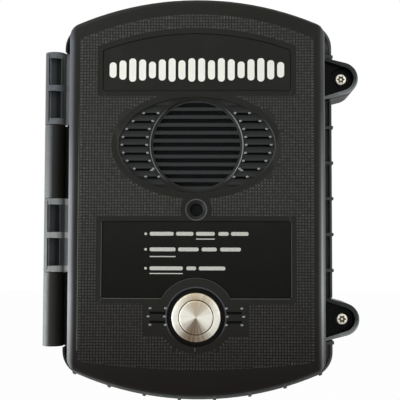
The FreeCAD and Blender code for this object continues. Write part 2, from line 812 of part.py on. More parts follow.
def make_front_cover():
    shell = arched_prism("CoverShell", "parting", "cover_depth", [inset("0")])
    inside = new_sketch(shell, "CoverInside", forward="parting")
    arched_outline(inside, inset("side_wall"))
    pocket(shell, inside, "cover_depth - face_wall", forward=True)
    front = value("-(face)")
    fillet(shell, "face_round",
           lambda edge: all(abs(vertex.Y - front) < 1e-6 for vertex in edge.Vertexes))
    parts = [
        shell,
        oval_prism("side_wall", "cover_inside - oval_backing", "oval_backing + past"),
        rod(0, "grille_back", "speaker_height", "speaker_boss_radius", "cover_inside - grille_back + past"),
        rod(0, "button_back", "button_height", "button_boss_radius", "button_boss_depth + past"),
        ring(0, "cover_inside - mic_boot_depth + past", "mic_height",
             "mic_radius + mic_boot_wall + mic_collar_wall", "mic_radius + mic_boot_wall", "mic_boot_depth"),
        cover_ear("Upper", "ear_height"),
        cover_ear("Lower", "-ear_height"),
    ]
    for x, z in clamp_places():
        parts.append(rod(x, "speaker_back", z, "clamp_boss_radius", "cover_inside - (speaker_back) + past"))
    for index in (0, 2):
        low = "hinge_top - %d * knuckle_step - knuckle_length" % index
        leaf = block("hinge_x", "parting", low, "hinge_offset + side_wall / 2", "leaf_depth",
                     "knuckle_length")
        parts.append(leaf)
        parts.append(knuckle(index, window=True))
    for step in range(-4, 5):
        parts.append(block("-(half_width) - gusset_reach", "parting",
                           "%d * gusset_pitch - gusset_wall / 2" % step,
                           "gusset_reach + side_wall / 2", "rim_lift", "gusset_wall"))
    tools = grille_cutters() + wing_cutters() + louvre_cutters()
    tools += [
        top_label_prism("TopRecess", "label_gap", "label_seat", "label_depth + label_sink + past"),
        low_label_prism("LowRecess", "label_gap", "label_seat", "label_depth + label_sink + past"),
        rod(0, "cover_inside - past", "mic_height", "mic_hole_radius", "face_wall + 2 * past"),
        cone(0, "face - mic_cone_depth", "mic_height", "mic_hole_radius", "mic_cone_radius",
             "mic_cone_depth"),
        rod(0, "pocket_floor", "button_height", "pocket_radius", "pocket_depth + past"),
        rod(0, "button_back - past", "button_height", "barrel_radius + barrel_play",
            "button_boss_depth + face_wall"),
        rod("hinge_x", "hinge_forward", "-hinge_top", "pin_radius + pin_play", "2 * hinge_top + past",
            ALONG_Z),
    ]
    for x, z in clamp_places():
        tools.append(rod(x, "speaker_back - past", z, "clamp_screw_radius", "clamp_screw_bite + past"))
    node(cut(fuse(parts), tools), "front_cover")


def make_labels():
    node(top_label_prism("TopLabel", "0", "label_seat", "label_depth"), "top_label")
    node(low_label_prism("LowLabel", "0", "label_seat", "label_depth"), "instruction_label")


def make_loudspeaker():
    z = "speaker_height"
    seal_bore = "speaker_radius - speaker_seal_width"
    node(rod(0, "grille_back - screen_depth", z, "%s - screw_play" % seal_bore, "screen_depth"),
         "grille_screen")
    node(ring(0, "seal_back", z, "speaker_radius", seal_bore, "speaker_seal_depth"), "speaker_gasket")
    basket = [
        ring(0, "speaker_back", z, "speaker_radius", seal_bore, "speaker_flange_depth"),
        cut(cone(0, "speaker_back - speaker_depth", z, "speaker_neck_radius", seal_bore + " + speaker_wall",
                 "speaker_depth"),
            [cone(0, "speaker_back - speaker_depth", z, "speaker_neck_radius - speaker_wall", seal_bore,
                  "speaker_depth")]),
        rod(0, "speaker_back - speaker_depth", z, "speaker_neck_radius", "speaker_wall"),
    ]
    node(fuse(basket), "speaker_basket")
    node(rod(0, "speaker_back - speaker_depth - magnet_depth", z, "magnet_radius", "magnet_depth"),
         "speaker_magnet")
    sheet_of_paper = cut(
        cone(0, "speaker_back - voice_cone_depth", z, "voice_cap_radius", "voice_cone_radius",
             "voice_cone_depth"),
        [cone(0, "speaker_back - voice_cone_depth + speaker_wall", z, "voice_cap_radius", "voice_cone_radius",
              "voice_cone_depth")])
    surround = ring(0, "speaker_back", z, seal_bore, "voice_cone_radius - speaker_wall", "speaker_wall")
    node(fuse([sheet_of_paper, surround]), "speaker_cone")
    screws = []
    for x, height in clamp_places():
        head = rod(x, "speaker_back - clamp_head_depth", height, "clamp_head_radius", "clamp_head_depth")
        shank = rod(x, "speaker_back", height, "clamp_screw_radius", "clamp_screw_bite")
        screws.append(fuse([head, shank]))
    node(group(screws), "speaker_screws")


def make_microphone():
    boot = cut(rod(0, "cover_inside - mic_boot_depth", "mic_height", "mic_radius + mic_boot_wall",
                   "mic_boot_depth"),
               [rod(0, "cover_inside - mic_boot_depth", "mic_height", "mic_radius", "mic_boot_depth")])
    node(boot, "microphone_boot")
    node(rod(0, "cover_inside - mic_depth", "mic_height", "mic_radius", "mic_depth - soft_gap"), "microphone")


def make_push_button():
    z = "button_height"
    head_back = "pocket_floor + button_seal_depth"
    front = "face + bezel_proud"
    node(ring(0, "pocket_floor", z, "barrel_radius + button_seal_width", "barrel_radius",
              "button_seal_depth"), "button_gasket")
    head = rod(0, head_back, z, "bezel_radius", "%s - (%s) - bezel_lip" % (front, head_back))
    bevel = cone(0, "%s - bezel_lip" % front, z, "bezel_radius", "bezel_radius - bezel_lip", "bezel_lip")
    barrel = rod(0, "%s - barrel_length" % head_back, z, "barrel_radius", "barrel_length")
    bezel = cut(fuse([head, bevel, barrel]), [
        rod(0, "bezel_shelf", z, "cap_radius + cap_play", "%s - (bezel_shelf) + past" % front),
        rod(0, "shelf_back - past", z, "stem_radius + cap_play", "bezel_floor + 2 * past"),
        rod(0, "%s - barrel_length - past" % head_back, z, "switch_radius",
            "shelf_back - (%s - barrel_length) + past" % head_back),
    ])
    node(bezel, "button_bezel")
    nut = cut(hex_prism("button_back - nut_depth", z, "nut_flats", "nut_depth"),
              [rod(0, "button_back - nut_depth", z, "barrel_radius", "nut_depth")])
    node(nut, "button_nut")
    node(fuse([rod(0, "cap_back", z, "cap_radius", "cap_depth"),
               rod(0, "stem_back", z, "stem_radius", "stem_length")]), "button_cap")
    node(rod(0, "switch_back", z, "switch_radius", "switch_depth"), "switch_body")
    blades = []
    for x in ("-blade_offset", "blade_offset"):
        for height in ("-blade_offset / 2", "blade_offset / 2"):
            blades.append(block("%s - blade_wall / 2" % x, "switch_back - blade_length",
                                "%s + %s - blade_width / 2" % (z, height), "blade_wall", "blade_length",
                                "blade_width"))
    node(group(blades), "switch_terminals")


def make_cover_screw(name, height):
    head_round = "screw_head_depth / 3"
    head = rod("screw_x", "head_seat", height, "screw_head_radius", "screw_head_depth - %s" % head_round)
    crown = cone("screw_x", "head_seat + screw_head_depth - %s" % head_round, height, "screw_head_radius",
                 "screw_head_radius - %s" % head_round, head_round)
    neck = rod("screw_x", "base_depth - screw_engagement", height, "screw_root_radius",
               "head_seat - base_depth + screw_engagement")
    node(fuse([head, crown, neck]), name)


def make_retainers():
    washers = []
    for z in ("ear_height", "-ear_height"):
        washers.append(ring("screw_x", "parting + screw_play", z, "retainer_radius + screw_play",
                            "screw_root_radius + retainer_play", "retainer_depth"))
    node(group(washers), "screw_retainers")


def board_part(x, z, width, length, depth):
    """Block on the front of the radio board, placed by its middle."""
    return block("%s - (%s) / 2" % (x, width), "board_front", "board_middle + %s - (%s) / 2" % (z, length),
                 width, depth, length)


def make_radio_board():
    board_x = "board_width / 2 - board_margin"
    places = [(x, z) for x in ("-(%s)" % board_x, board_x)
              for z in ("board_low + board_margin", "board_low + board_length - board_margin")]
    board = block("-board_width / 2", "board_back", "board_low", "board_width", "board_wall", "board_length")
    holes = [rod(x, "board_back", z, "board_screw_radius", "board_wall") for x, z in places]
    node(cut(board, holes), "radio_board")
    screws = []
    for x, z in places:
        head = rod(x, "board_front", z, "board_head_radius", "board_head_depth")
        shank = rod(x, "board_back - board_screw_bite", z, "board_screw_radius",
                    "board_wall + board_screw_bite")
        screws.append(fuse([head, shank]))
    node(group(screws), "board_screws")
    can = board_part("-board_width / 5", "board_length / 7", "can_width", "can_length", "can_depth")
    hollow = block("-board_width / 5 - can_width / 2 + can_wall", "board_front",
                   "board_middle + board_length / 7 - can_length / 2 + can_wall",
                   "can_width - 2 * can_wall", "can_depth - can_wall", "can_length - 2 * can_wall")
    node(cut(can, [hollow]), "shield_can")
    plugs = []
    for step in range(3):
        x = "-board_width / 3 + %d * 1.5 * plug_width" % step
        plugs.append(board_part(x, "-board_length / 2 + 2 * plug_length", "plug_width", "plug_length",
                                "plug_depth"))
    node(group(plugs), "wire_connectors")
    tall = []
    for step in range(2):
        tall.append(rod("board_width / 4 + %d * 2.6 * capacitor_radius - board_margin" % step, "board_front",
                        "board_middle + board_length / 7", "capacitor_radius", "capacitor_length"))
    node(group(tall), "filter_capacitors")
    node(rod("board_width / 4", "board_front", "board_middle - board_length / 4", "dial_radius",
             "dial_depth"),
         "channel_dial")
    foot = board_part("board_width / 5", "board_length / 2 - antenna_radius - antenna_margin",
                      "2 * antenna_radius",
                      "2 * antenna_radius", "antenna_foot")
    mast = rod("board_width / 5 - antenna_length / 2", "board_front + antenna_foot + antenna_radius",
               "board_middle + board_length / 2 - antenna_radius - antenna_margin", "antenna_radius",
               "antenna_length", ALONG_X)
    node(cut(fuse([foot, block("board_width / 5 - antenna_radius", "board_front + antenna_foot",
                               "board_middle + board_length / 2 - 2 * antenna_radius - antenna_margin",
                               "2 * antenna_radius", "antenna_radius", "2 * antenna_radius")]), [mast]),
         "antenna_clip")
    node(rod("board_width / 5 - antenna_length / 2", "board_front + antenna_foot + antenna_radius",
             "board_middle + board_length / 2 - antenna_radius - antenna_margin", "antenna_radius",
             "antenna_length", ALONG_X),
         "antenna_coil")


def cell_height(step):
    return "tray_inner_low + %s * cell_pitch" % (step + 0.5)


def make_battery_tray():
    outer = block("-(tray_half) - tray_wall", "back_wall", "tray_low", "2 * (tray_half + tray_wall)",
                  "tray_floor + tray_height", "tray_inner_height + 2 * tray_wall")
    bays = []
    for x in ("-(tray_half)", "divider_half"):
        bays.append(block(x, "tray_back", "tray_inner_low", "tray_half - divider_half", "tray_height + past",
                          "tray_inner_height"))
    holes = []
    screws = []
    for step in (1, 2):
        z = "tray_inner_low + %d * cell_pitch" % step
        holes.append(rod(0, "back_wall - past", z, "tray_screw_radius",
                         "tray_floor + tray_height + 2 * past"))
        holes.append(rod(0, "tray_back", z, "tray_head_radius + tray_head_play", "tray_height + past"))
        head = rod(0, "tray_back", z, "tray_head_radius", "tray_head_depth")
        shank = rod(0, "back_wall - tray_screw_bite", z, "tray_screw_radius", "tray_floor + tray_screw_bite")
        screws.append(fuse([head, shank]))
    node(cut(outer, bays + holes), "battery_tray")
    node(group(screws), "tray_screws")


def make_contacts():
    """A plate behind each cell end, with a pressed dome that touches the cell."""
    outer = []
    centre = []
    for step in range(3):
        z = cell_height(step)
        for side in (-1, 1):
            wall_x = "tray_half" if side > 0 else "-(tray_half) + contact_wall"
            plate = block("%s - contact_wall" % wall_x, "cell_forward - contact_width / 2",
                          "%s - contact_width / 2" % z, "contact_wall", "contact_width", "contact_width")
            dome = rod("%s * (cell_start + cell_length) - %s * contact_spring" % (side, 0 if side > 0 else 1),
                       "cell_forward", z, "cell_nub_radius", "contact_spring", ALONG_X)
            outer.append(fuse([plate, dome]))
            low = "divider_half" if side > 0 else "-divider_half - contact_wall"
            plate = block(low, "cell_forward - contact_width / 2", "%s - contact_width / 2" % z,
                          "contact_wall", "contact_width", "contact_width")
            dome = rod("divider_half + contact_wall" if side > 0 else "-(cell_start)", "cell_forward", z,
                       "cell_nub_radius", "contact_spring", ALONG_X)
            centre.append(fuse([plate, dome]))
    node(group(outer), "outer_contacts")
    node(group(centre), "centre_contacts")


def make_cells():
    """Six round cells, two across and three down, each row the other way round from the last."""
    for step in range(3):
        z = cell_height(step)
        for side in (0, 1):
            start = "cell_start" if side else "-(cell_start) - cell_length"
            nub_first = (step + side) % 2 == 0
            can_start = "%s + %s" % (start, "cell_nub_length" if nub_first else "0")
            nub_start = start if nub_first else "%s + cell_length - cell_nub_length" % start
            can = rod(can_start, "cell_forward", z, "cell_radius", "cell_length - cell_nub_length", ALONG_X)
            nub = rod(nub_start, "cell_forward", z, "cell_nub_radius", "cell_nub_length", ALONG_X)
            node(fuse([can, nub]), "battery_cell_%d" % (2 * step + side + 1))


def check_and_write():
    doc.recompute()
    for item in doc.Objects:
        faults = {"Invalid", "Error"} & set(item.State)
        if faults:
            raise ValueError("%s (%s): %s" % (item.Label, item.Name, ", ".join(item.State)))
    os.makedirs("parts", exist_ok=True)
    for item in nodes:
        shape = item.Shape
        if shape.isNull() or not shape.isValid() or not shape.Solids:
            raise ValueError(item.Label + ": the shape is empty or not valid")
        shape.exportStep("parts/%s.step" % item.Label)
        print("%-20s solids %2d faces %4d volume %9.0f" % (
            item.Label, len(shape.Solids), len(shape.Faces), shape.Volume))


make_rear_housing()
make_case_seal()
make_hinge_pin()
make_inserts()
make_radio_board()
make_battery_tray()
make_contacts()
make_cells()
make_front_cover()
make_labels()
make_loudspeaker()
make_microphone()
make_push_button()
make_cover_screw("cover_screw_upper", "ear_height")
make_cover_screw("cover_screw_lower", "-ear_height")
make_retainers()
check_and_write()
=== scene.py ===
import math
import random

import bmesh
import bpy
from mathutils import Matrix, Vector


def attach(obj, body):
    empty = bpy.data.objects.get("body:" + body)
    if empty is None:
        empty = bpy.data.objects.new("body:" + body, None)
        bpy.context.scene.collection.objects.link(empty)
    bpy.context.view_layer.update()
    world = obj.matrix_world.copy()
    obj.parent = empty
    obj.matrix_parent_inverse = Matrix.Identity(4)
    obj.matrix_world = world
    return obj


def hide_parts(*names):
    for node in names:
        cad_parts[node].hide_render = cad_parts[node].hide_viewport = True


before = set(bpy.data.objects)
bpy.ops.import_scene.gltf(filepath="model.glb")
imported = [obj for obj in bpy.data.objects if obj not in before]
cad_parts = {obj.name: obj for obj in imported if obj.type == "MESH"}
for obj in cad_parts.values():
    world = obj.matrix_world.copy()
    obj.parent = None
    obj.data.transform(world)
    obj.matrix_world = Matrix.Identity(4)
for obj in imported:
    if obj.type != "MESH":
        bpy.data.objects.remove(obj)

# Wireless call box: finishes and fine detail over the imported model.
# Shapes are written in millimetres, x to the right, forward out of the back face, z up.

SHARP = math.radians(32)

# Distances forward of the back face
FACE = 88.0
LABEL_FRONT = 87.6
OVAL_FLOOR = 86.6
EAR_FRONT = 66.0
RIM_FRONT = 60.0
CHANNEL_FLOOR = 54.0
WINDOW_FLOOR = 59.5
LEAF_FRONT = 57.4

# Places and sizes on the face
ARCH_MIDDLE = -67.0
SPEAKER_Z = 31.6
OVAL_HALF_X, OVAL_HALF_Z = 48.7, 29.9
GRILLE_RADIUS = 28.2
COLLAR_RADIUS = 30.9
SLAT_PITCH = 4.95
RIB_TOP = 31.9
MICROPHONE_Z = -8.5
BUTTON_Z = -74.5
SEAM_RADIUS = 10.5
GRAIN_PITCH = 1.8
GRAIN_LIFT = 0.06
STUD_GAP, STUD_SLOPE, STUD_HEIGHT = 0.28, 0.22, 0.2

# The screws at the right and the hinge at the left
SCREW_X = 92.5
SCREW_Z = 77.0
SCREW_HEIGHTS = {"upper": SCREW_Z, "lower": -SCREW_Z}
KNUCKLE_STEP = 47.8
KNUCKLE_LOW = 48.1
KNUCKLE_RIB = 3.8
KNUCKLE_HALF_GAP, DRAWN_HALF_GAP = 0.3, 0.08
WINDOW_PITCH = 21.7

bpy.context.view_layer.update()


def at(x, forward, z):
    """A point of the frame, in metres."""
    return Vector((x, -forward, z)) / 1000


def srgb(red, green, blue):
    """A colour as it looks on a screen, 0 to 255, in the shader's own scale."""
    def linear(level):
        level /= 255
        return level / 12.92 if level <= 0.04045 else ((level + 0.055) / 1.055) ** 2.4
    return (linear(red), linear(green), linear(blue), 1.0)


# Materials

CASE_BLACK = srgb(33, 33, 30)
# Near black painted into grooves and hollows as painted shadow
HOLLOW_SHADOW = srgb(2, 2, 4)


class Wire:
    """A shader output that takes part in Python's expressions."""

    def __init__(self, finish, socket):
        self.finish = finish
        self.socket = socket

    def __add__(self, other):
        return self.finish.maths("ADD", self, other)

    def __radd__(self, other):
        return self.finish.maths("ADD", other, self)

    def __sub__(self, other):
        return self.finish.maths("SUBTRACT", self, other)

    def __rsub__(self, other):
        return self.finish.maths("SUBTRACT", other, self)

    def __mul__(self, other):
        return self.finish.maths("MULTIPLY", self, other)

    def __rmul__(self, other):
        return self.finish.maths("MULTIPLY", other, self)

    def __truediv__(self, other):
        return self.finish.maths("DIVIDE", self, other)

    def __pow__(self, other):
        return self.finish.maths("POWER", self, other)

    def __mod__(self, other):
        return self.finish.maths("FLOORED_MODULO", self, other)

    def __gt__(self, other):
        return self.finish.maths("GREATER_THAN", self, other)

    def __lt__(self, other):
        return self.finish.maths("LESS_THAN", self, other)

    def __abs__(self):
        return self.finish.maths("ABSOLUTE", self)


class Finish:
    """One material: a Principled shader and the nodes that feed it."""

    def __init__(self, name, colour, roughness, **constants):
        self.material = bpy.data.materials.new(name)
        self.material.use_nodes = True
        self.tree = self.material.node_tree
        self.shader = self.tree.nodes["Principled BSDF"]
        self.set("Base Color", colour)
        self.set("Roughness", roughness)
        for socket, constant in constants.items():
            self.set(socket.replace("_", " "), constant)

    def set(self, socket, wanted):
        self.feed(self.shader.inputs[socket], wanted)

    def feed(self, socket, wanted):
        if isinstance(wanted, Wire):
            self.tree.links.new(wanted.socket, socket)
        else:
            socket.default_value = wanted

    def node(self, kind, settings, sockets, output=0):
        """Add any node: its settings first, then the values or wires of its sockets."""
        made = self.tree.nodes.new(kind)
        for name, setting in settings.items():
            setattr(made, name, setting)
        for name, wanted in sockets.items():
            self.feed(made.inputs[name], wanted)
        return Wire(self, made.outputs[output])

    def maths(self, operation, *values):
        return self.node("ShaderNodeMath", {"operation": operation}, dict(enumerate(values)))

    def clamp(self, wire):
        return self.node("ShaderNodeClamp", {}, {"Value": wire})

    def length(self, across, up):
        return self.maths("SQRT", across * across + up * up)

    def mix(self, factor, first, second):
        return self.node("ShaderNodeMix", {"data_type": "RGBA"}, {0: factor, 6: first, 7: second}, 2)

    def position(self):
        return self.node("ShaderNodeTexCoord", {}, {}, "Object")

    def axes(self):
        """The three object coordinates, in millimetres: x, forward and z."""
        where = self.position()
        x, y, z = (self.node("ShaderNodeSeparateXYZ", {}, {"Vector": where}, axis) for axis in "XYZ")
        return x * 1000, y * -1000, z * 1000

    def vector(self, x, y, z):
        return self.node("ShaderNodeCombineXYZ", {}, {"X": x, "Y": y, "Z": z})

    def noise(self, size, detail=2.0, where=None):
        """Cloudy noise from 0 to 1 whose lumps are about the given size in millimetres."""
        scale = {"Vector": where or self.position(), "Scale": 1000 / size if where is None else 1 / size,
                 "Detail": detail}
        return self.node("ShaderNodeTexNoise", {}, scale)

    def pointed(self):
        """1 on outer edges, 0 on flats and hollows."""
        edge = self.node("ShaderNodeNewGeometry", {}, {}, "Pointiness")
        return self.clamp((edge - 0.52) * 12)

    def bump(self, height, depth, strength=1.0):
        """Relief of the given depth in millimetres."""
        self.set("Normal", self.node("ShaderNodeBump", {}, {
            "Strength": strength, "Distance": depth / 1000, "Height": height}))


def moulded(name, colour, roughness, grain=0.35, depth=0.02, wear=0.25, **constants):
    """Moulded plastic: spark-eroded grain, faint flow marks and edges paler with wear."""
    finish = Finish(name, colour, roughness, **constants)
    cloud = finish.noise(34, 3)
    fine = finish.noise(grain, 2)
    paler = tuple(min(1, channel * 2.4 + 0.021) for channel in colour[:3]) + (1,)
    darker = tuple(channel * 0.72 for channel in colour[:3]) + (1,)
    tone = finish.mix(cloud, darker, colour)
    finish.set("Base Color", finish.mix(finish.pointed() * wear * (0.4 + fine), tone, paler))
    finish.set("Roughness", finish.clamp(roughness - 0.06 + 0.12 * cloud + 0.08 * (fine - 0.5)))
    finish.bump(fine, depth)
    return finish


def metal(name, colour, roughness, tarnish=0.12):
    """Plain plated or rolled metal with faint stains and hairlines."""
    finish = Finish(name, colour, roughness, Metallic=1.0)
    stain = finish.noise(7, 4)
    x, forward, z = finish.axes()
    hair = finish.noise(0.3, 2, finish.vector(x, forward * 0.1, z * 0.06))
    dull = tuple(channel * 0.62 for channel in colour[:3]) + (1,)
    finish.set("Base Color", finish.mix(stain * tarnish * 2, colour, dull))
    finish.set("Roughness", finish.clamp(roughness + (hair - 0.5) * 0.18 + (stain - 0.5) * 0.1))
    finish.bump(hair, 0.006)
    return finish


def near(distance, middle, half):
    """1 at the middle of a band, 0 at both its sides and below 0 beyond them."""
    return 1 - abs(distance - middle) / half


class Coats:
    """Coats of paint over a moulded plastic, each laid on through a mask of 0 to 1."""

    def __init__(self, finish):
        self.parts = (finish, *finish.axes())
        self.finish = finish
        self.colour = Wire(finish, finish.shader.inputs["Base Color"].links[0].from_socket)

    def paint(self, mask, shade):
        self.colour = self.finish.mix(self.finish.clamp(mask), self.colour, shade)

    def done(self):
        self.finish.set("Base Color", self.colour)
        return self.finish


def hinge_painted_sheen(finish, x, z):
    """Painted highlight on the hinge, paler downwards and towards the cover, broken by patches of darker
    tone.
    """
    low = finish.clamp((60 - z) / 90)
    outer = finish.mix(low, srgb(85, 89, 93), srgb(120, 124, 123))
    inner = finish.mix(low, srgb(124, 128, 130), srgb(205, 208, 206))
    # Painted highlight: pale grey standing in for light from the left
    painted_sheen = finish.mix(finish.clamp((x + 95) / 7), outer, inner)
    return finish.mix(finish.noise(5, 3) * 0.3, painted_sheen, srgb(20, 21, 22))


def paint_openings(coats):
    """Painted shadow in the hollows, painted shading across the louvre steps, slats painted lighter to stand
    in for light on them, and painted highlights on the rims of the grille, the recess and the microphone.
    """
    finish, x, forward, z = coats.parts
    wide, up = abs(x), z - SPEAKER_Z
    oval = finish.length(x / OVAL_HALF_X, up / OVAL_HALF_Z)
    to_speaker = finish.length(x, up)
    to_microphone = finish.length(x, z - MICROPHONE_Z)
    rib = (RIB_TOP - z) % SLAT_PITCH / SLAT_PITCH
    wing = (oval < 0.995) * (to_speaker > COLLAR_RADIUS) * (forward > OVAL_FLOOR - 0.2)
    # Painted shading across each louvre step, dark at its top and lighter downwards
    coats.paint(wing, finish.mix(rib, srgb(18, 19, 18), srgb(46, 48, 47)))
    # Painted shadow in the grooves of the recess
    coats.paint((oval < 0.99) * (to_speaker > 29.5) * (forward < OVAL_FLOOR - 0.2), HOLLOW_SHADOW)
    beside_button = (wide > 17.9) * (wide < 29.5) * (abs(z - BUTTON_Z) < 5)
    # Painted shadow in the grooves beside the button
    coats.paint(beside_button * (forward < FACE - 0.2), HOLLOW_SHADOW)
    # Painted highlight on the grille's rim, at its left and right
    coats.paint(near(to_speaker, GRILLE_RADIUS + 0.55, 0.4) * finish.clamp((wide - 17) / 8),
                srgb(136, 139, 137))
    # Painted highlight on the recess's edge, at its left and right
    coats.paint(near(oval, 1.0, 0.008) * finish.clamp((wide - 39) / 6) * (forward > OVAL_FLOOR),
                srgb(70, 72, 71))
    # Painted highlight on the microphone's ring
    coats.paint(near(to_microphone, 6.4, 0.5) * (forward > FACE - 2), srgb(83, 88, 90))
    # Slats painted lighter, standing in for light on them
    coats.paint((to_speaker < GRILLE_RADIUS) * (forward > FACE - 6), srgb(46, 48, 48))


def paint_sides(coats):
    """Painted highlights down both long edges of the cover, brighter downwards, a painted highlight along
    the left border of the grained field, and painted shade that darkens the face downwards.
    """
    finish, x, forward, z = coats.parts
    front_edge = finish.clamp((forward - 84.2) / 1.4)
    # Painted highlight along the left edge's rounding, brighter downwards
    left_edge = finish.clamp((-74.6 - x) / 2.6) ** 2 * (x > -80) * front_edge * finish.clamp((110 - z) / 14)
    strip = finish.mix(finish.clamp((45 - z) / 45), srgb(80, 83, 88), srgb(111, 113, 116))
    coats.paint(left_edge, finish.mix(finish.clamp((-40 - z) / 70), strip, srgb(160, 163, 165)))
    # Painted highlight on the right edge's rounding
    coats.paint(finish.clamp((x - 77.8) * 2) * (x < 80) * front_edge, srgb(80, 83, 82))
    # Painted highlight along the right edge, brighter downwards
    wear_and_highlight = finish.mix(finish.clamp((55 - z) / 115), srgb(66, 68, 68), srgb(172, 177, 174))
    coats.paint(near(x, 77.3, 2.6) * 0.3 * (forward > FACE - 4), wear_and_highlight)
    coats.paint(near(x, 77.4, 1.2) * (forward > FACE - 4), wear_and_highlight)
    # Painted shade: the lower face darkened and browned
    coats.paint(finish.clamp((-62 - z) / 60) * (forward > FACE - 4), srgb(15, 11, 9))
    # Painted highlight along the grained field's left border, fading downwards
    field_edge = near(x, -72.95, 0.35) * finish.clamp((60 - z) / 60) * (z > -95)
    coats.paint(field_edge * (forward > FACE - 0.5), srgb(95, 98, 93))


def paint_button_rings(coats):
    """Painted highlights on the edge of the button's seat and on the arc cut from the label above it."""
    finish, x, forward, z = coats.parts
    above = z - BUTTON_Z
    to_button = finish.length(x, above)
    seat = near(to_button, 18.4, 0.5) * finish.clamp((above + 14) / 8) * (forward > FACE - 0.3)
    # Painted highlight on the seat's edge, fading at the bottom
    coats.paint(seat, srgb(70, 74, 79))
    arc = near(to_button, 24.2, 0.5) * finish.clamp((above - 10) / 4) * (forward > FACE - 0.6)
    # Painted highlight on the label's arc
    coats.paint(arc, srgb(62, 65, 64))


def paint_ears(coats):
    """The screw ears: painted shadow inside, rims painted lighter downwards as painted light, and a painted
    highlight along their outer edge.
    """
    finish, x, forward, z = coats.parts
    ear = x > 79.8
    # Painted shadow inside the ears
    coats.paint(ear * (forward < EAR_FRONT - 0.5), HOLLOW_SHADOW)
    above_screw = z - finish.maths("SIGN", z) * SCREW_Z
    # Painted light: the rims dark above the screw and pale below it
    rim_painted_light = finish.mix(finish.clamp(above_screw / -9), srgb(52, 55, 55), srgb(131, 136, 136))
    coats.paint(ear * (forward > EAR_FRONT - 0.25) * (forward < EAR_FRONT + 1), rim_painted_light)
    to_screw = finish.length(x - SCREW_X, above_screw)
    # Painted highlight along the rim's outer edge, below and right of the screw
    lit = near(to_screw, 10.0, 0.7) * (x > SCREW_X - 2) * finish.clamp(0.5 - above_screw / 10)
    coats.paint(lit * (forward > EAR_FRONT - 1), srgb(154, 159, 159))


def paint_knuckles(coats):
    """The hinge knuckles: painted highlights on barrels, ribs and leaves, round windows whose floors carry
    painted shading.
    """
    finish, x, forward, z = coats.parts
    painted_sheen = hinge_painted_sheen(finish, x, z)
    across_rib = ((z - KNUCKLE_LOW) % (2 * KNUCKLE_STEP)) % WINDOW_PITCH < KNUCKLE_RIB
    knuckle = (x > -97) * (forward > 60.2)
    leaf = forward > LEAF_FRONT - 0.6
    # Painted light: barrel fronts, their right sides and the leaves made paler than the plastic
    coats.paint(knuckle * (x < -86), srgb(47, 50, 51))
    coats.paint((x > -89.2) * (x < -87.4) * leaf * (forward < 62), srgb(84, 88, 90))
    coats.paint((x > -87.4) * (x < -84) * leaf * (forward < 60.6), srgb(124, 128, 130))
    # Painted highlight on the ribs, the leaf between them and the barrels' left flanks
    coats.paint(knuckle * (x < -86.4) * across_rib, painted_sheen)
    coats.paint((x < -79.6) * (x > -87) * (forward > 55) * across_rib, painted_sheen)
    coats.paint((x < -96.2) * (forward > 48) * 0.8, painted_sheen)
    # Painted shading on the window floors, pale at the left and near black at the right
    shaded = finish.mix(finish.clamp((x + 96.8) / 5), srgb(75, 80, 83), srgb(4, 5, 5))
    window = (x > -96.9) * (x < -88.9) * (forward > WINDOW_FLOOR - 0.2) * (forward < WINDOW_FLOOR + 0.5)
    coats.paint(window, shaded)
    # Painted highlight at each window's left end
    coats.paint(near(x, -96.9, 1.3) * window, srgb(190, 194, 196))


def cover_plastic():
    """The case plastic on the cover, painted part by part. Later coats lie over earlier ones."""
    coats = Coats(moulded("cover_plastic", CASE_BLACK, 0.42, Specular_IOR_Level=0.1))
    for paint_part in (paint_openings, paint_sides, paint_button_rings, paint_ears, paint_knuckles):
        paint_part(coats)
    return coats.done()


def base_plastic():
    """The case plastic on the base: a rim painted grey in random patches as highlight, a channel painted
    pale to stand in for light, and hinge barrels with painted highlights.
    """
    coats = Coats(moulded("base_plastic", CASE_BLACK, 0.42, Specular_IOR_Level=0.14))
    finish, x, forward, z = coats.parts
    # Painted highlight on the rim, in random patches
    rim = (x > -80) * (forward > RIM_FRONT - 0.25) * (0.5 + 0.5 * finish.noise(3, 3))
    coats.paint(rim, srgb(94, 97, 95))
    # Painted light in the shaded channel
    channel = (x > 79) * (forward > CHANNEL_FLOOR - 0.5) * (forward < RIM_FRONT - 0.25)
    coats.paint(channel, srgb(112, 114, 112))
    # Painted highlight on the hinge barrels' left flanks
    barrel = finish.clamp((-93.6 - x - 1.4 * finish.clamp(z / -60)) / 2.8) * (forward > 48)
    coats.paint(barrel, hinge_painted_sheen(finish, x, z))
    return coats.done()


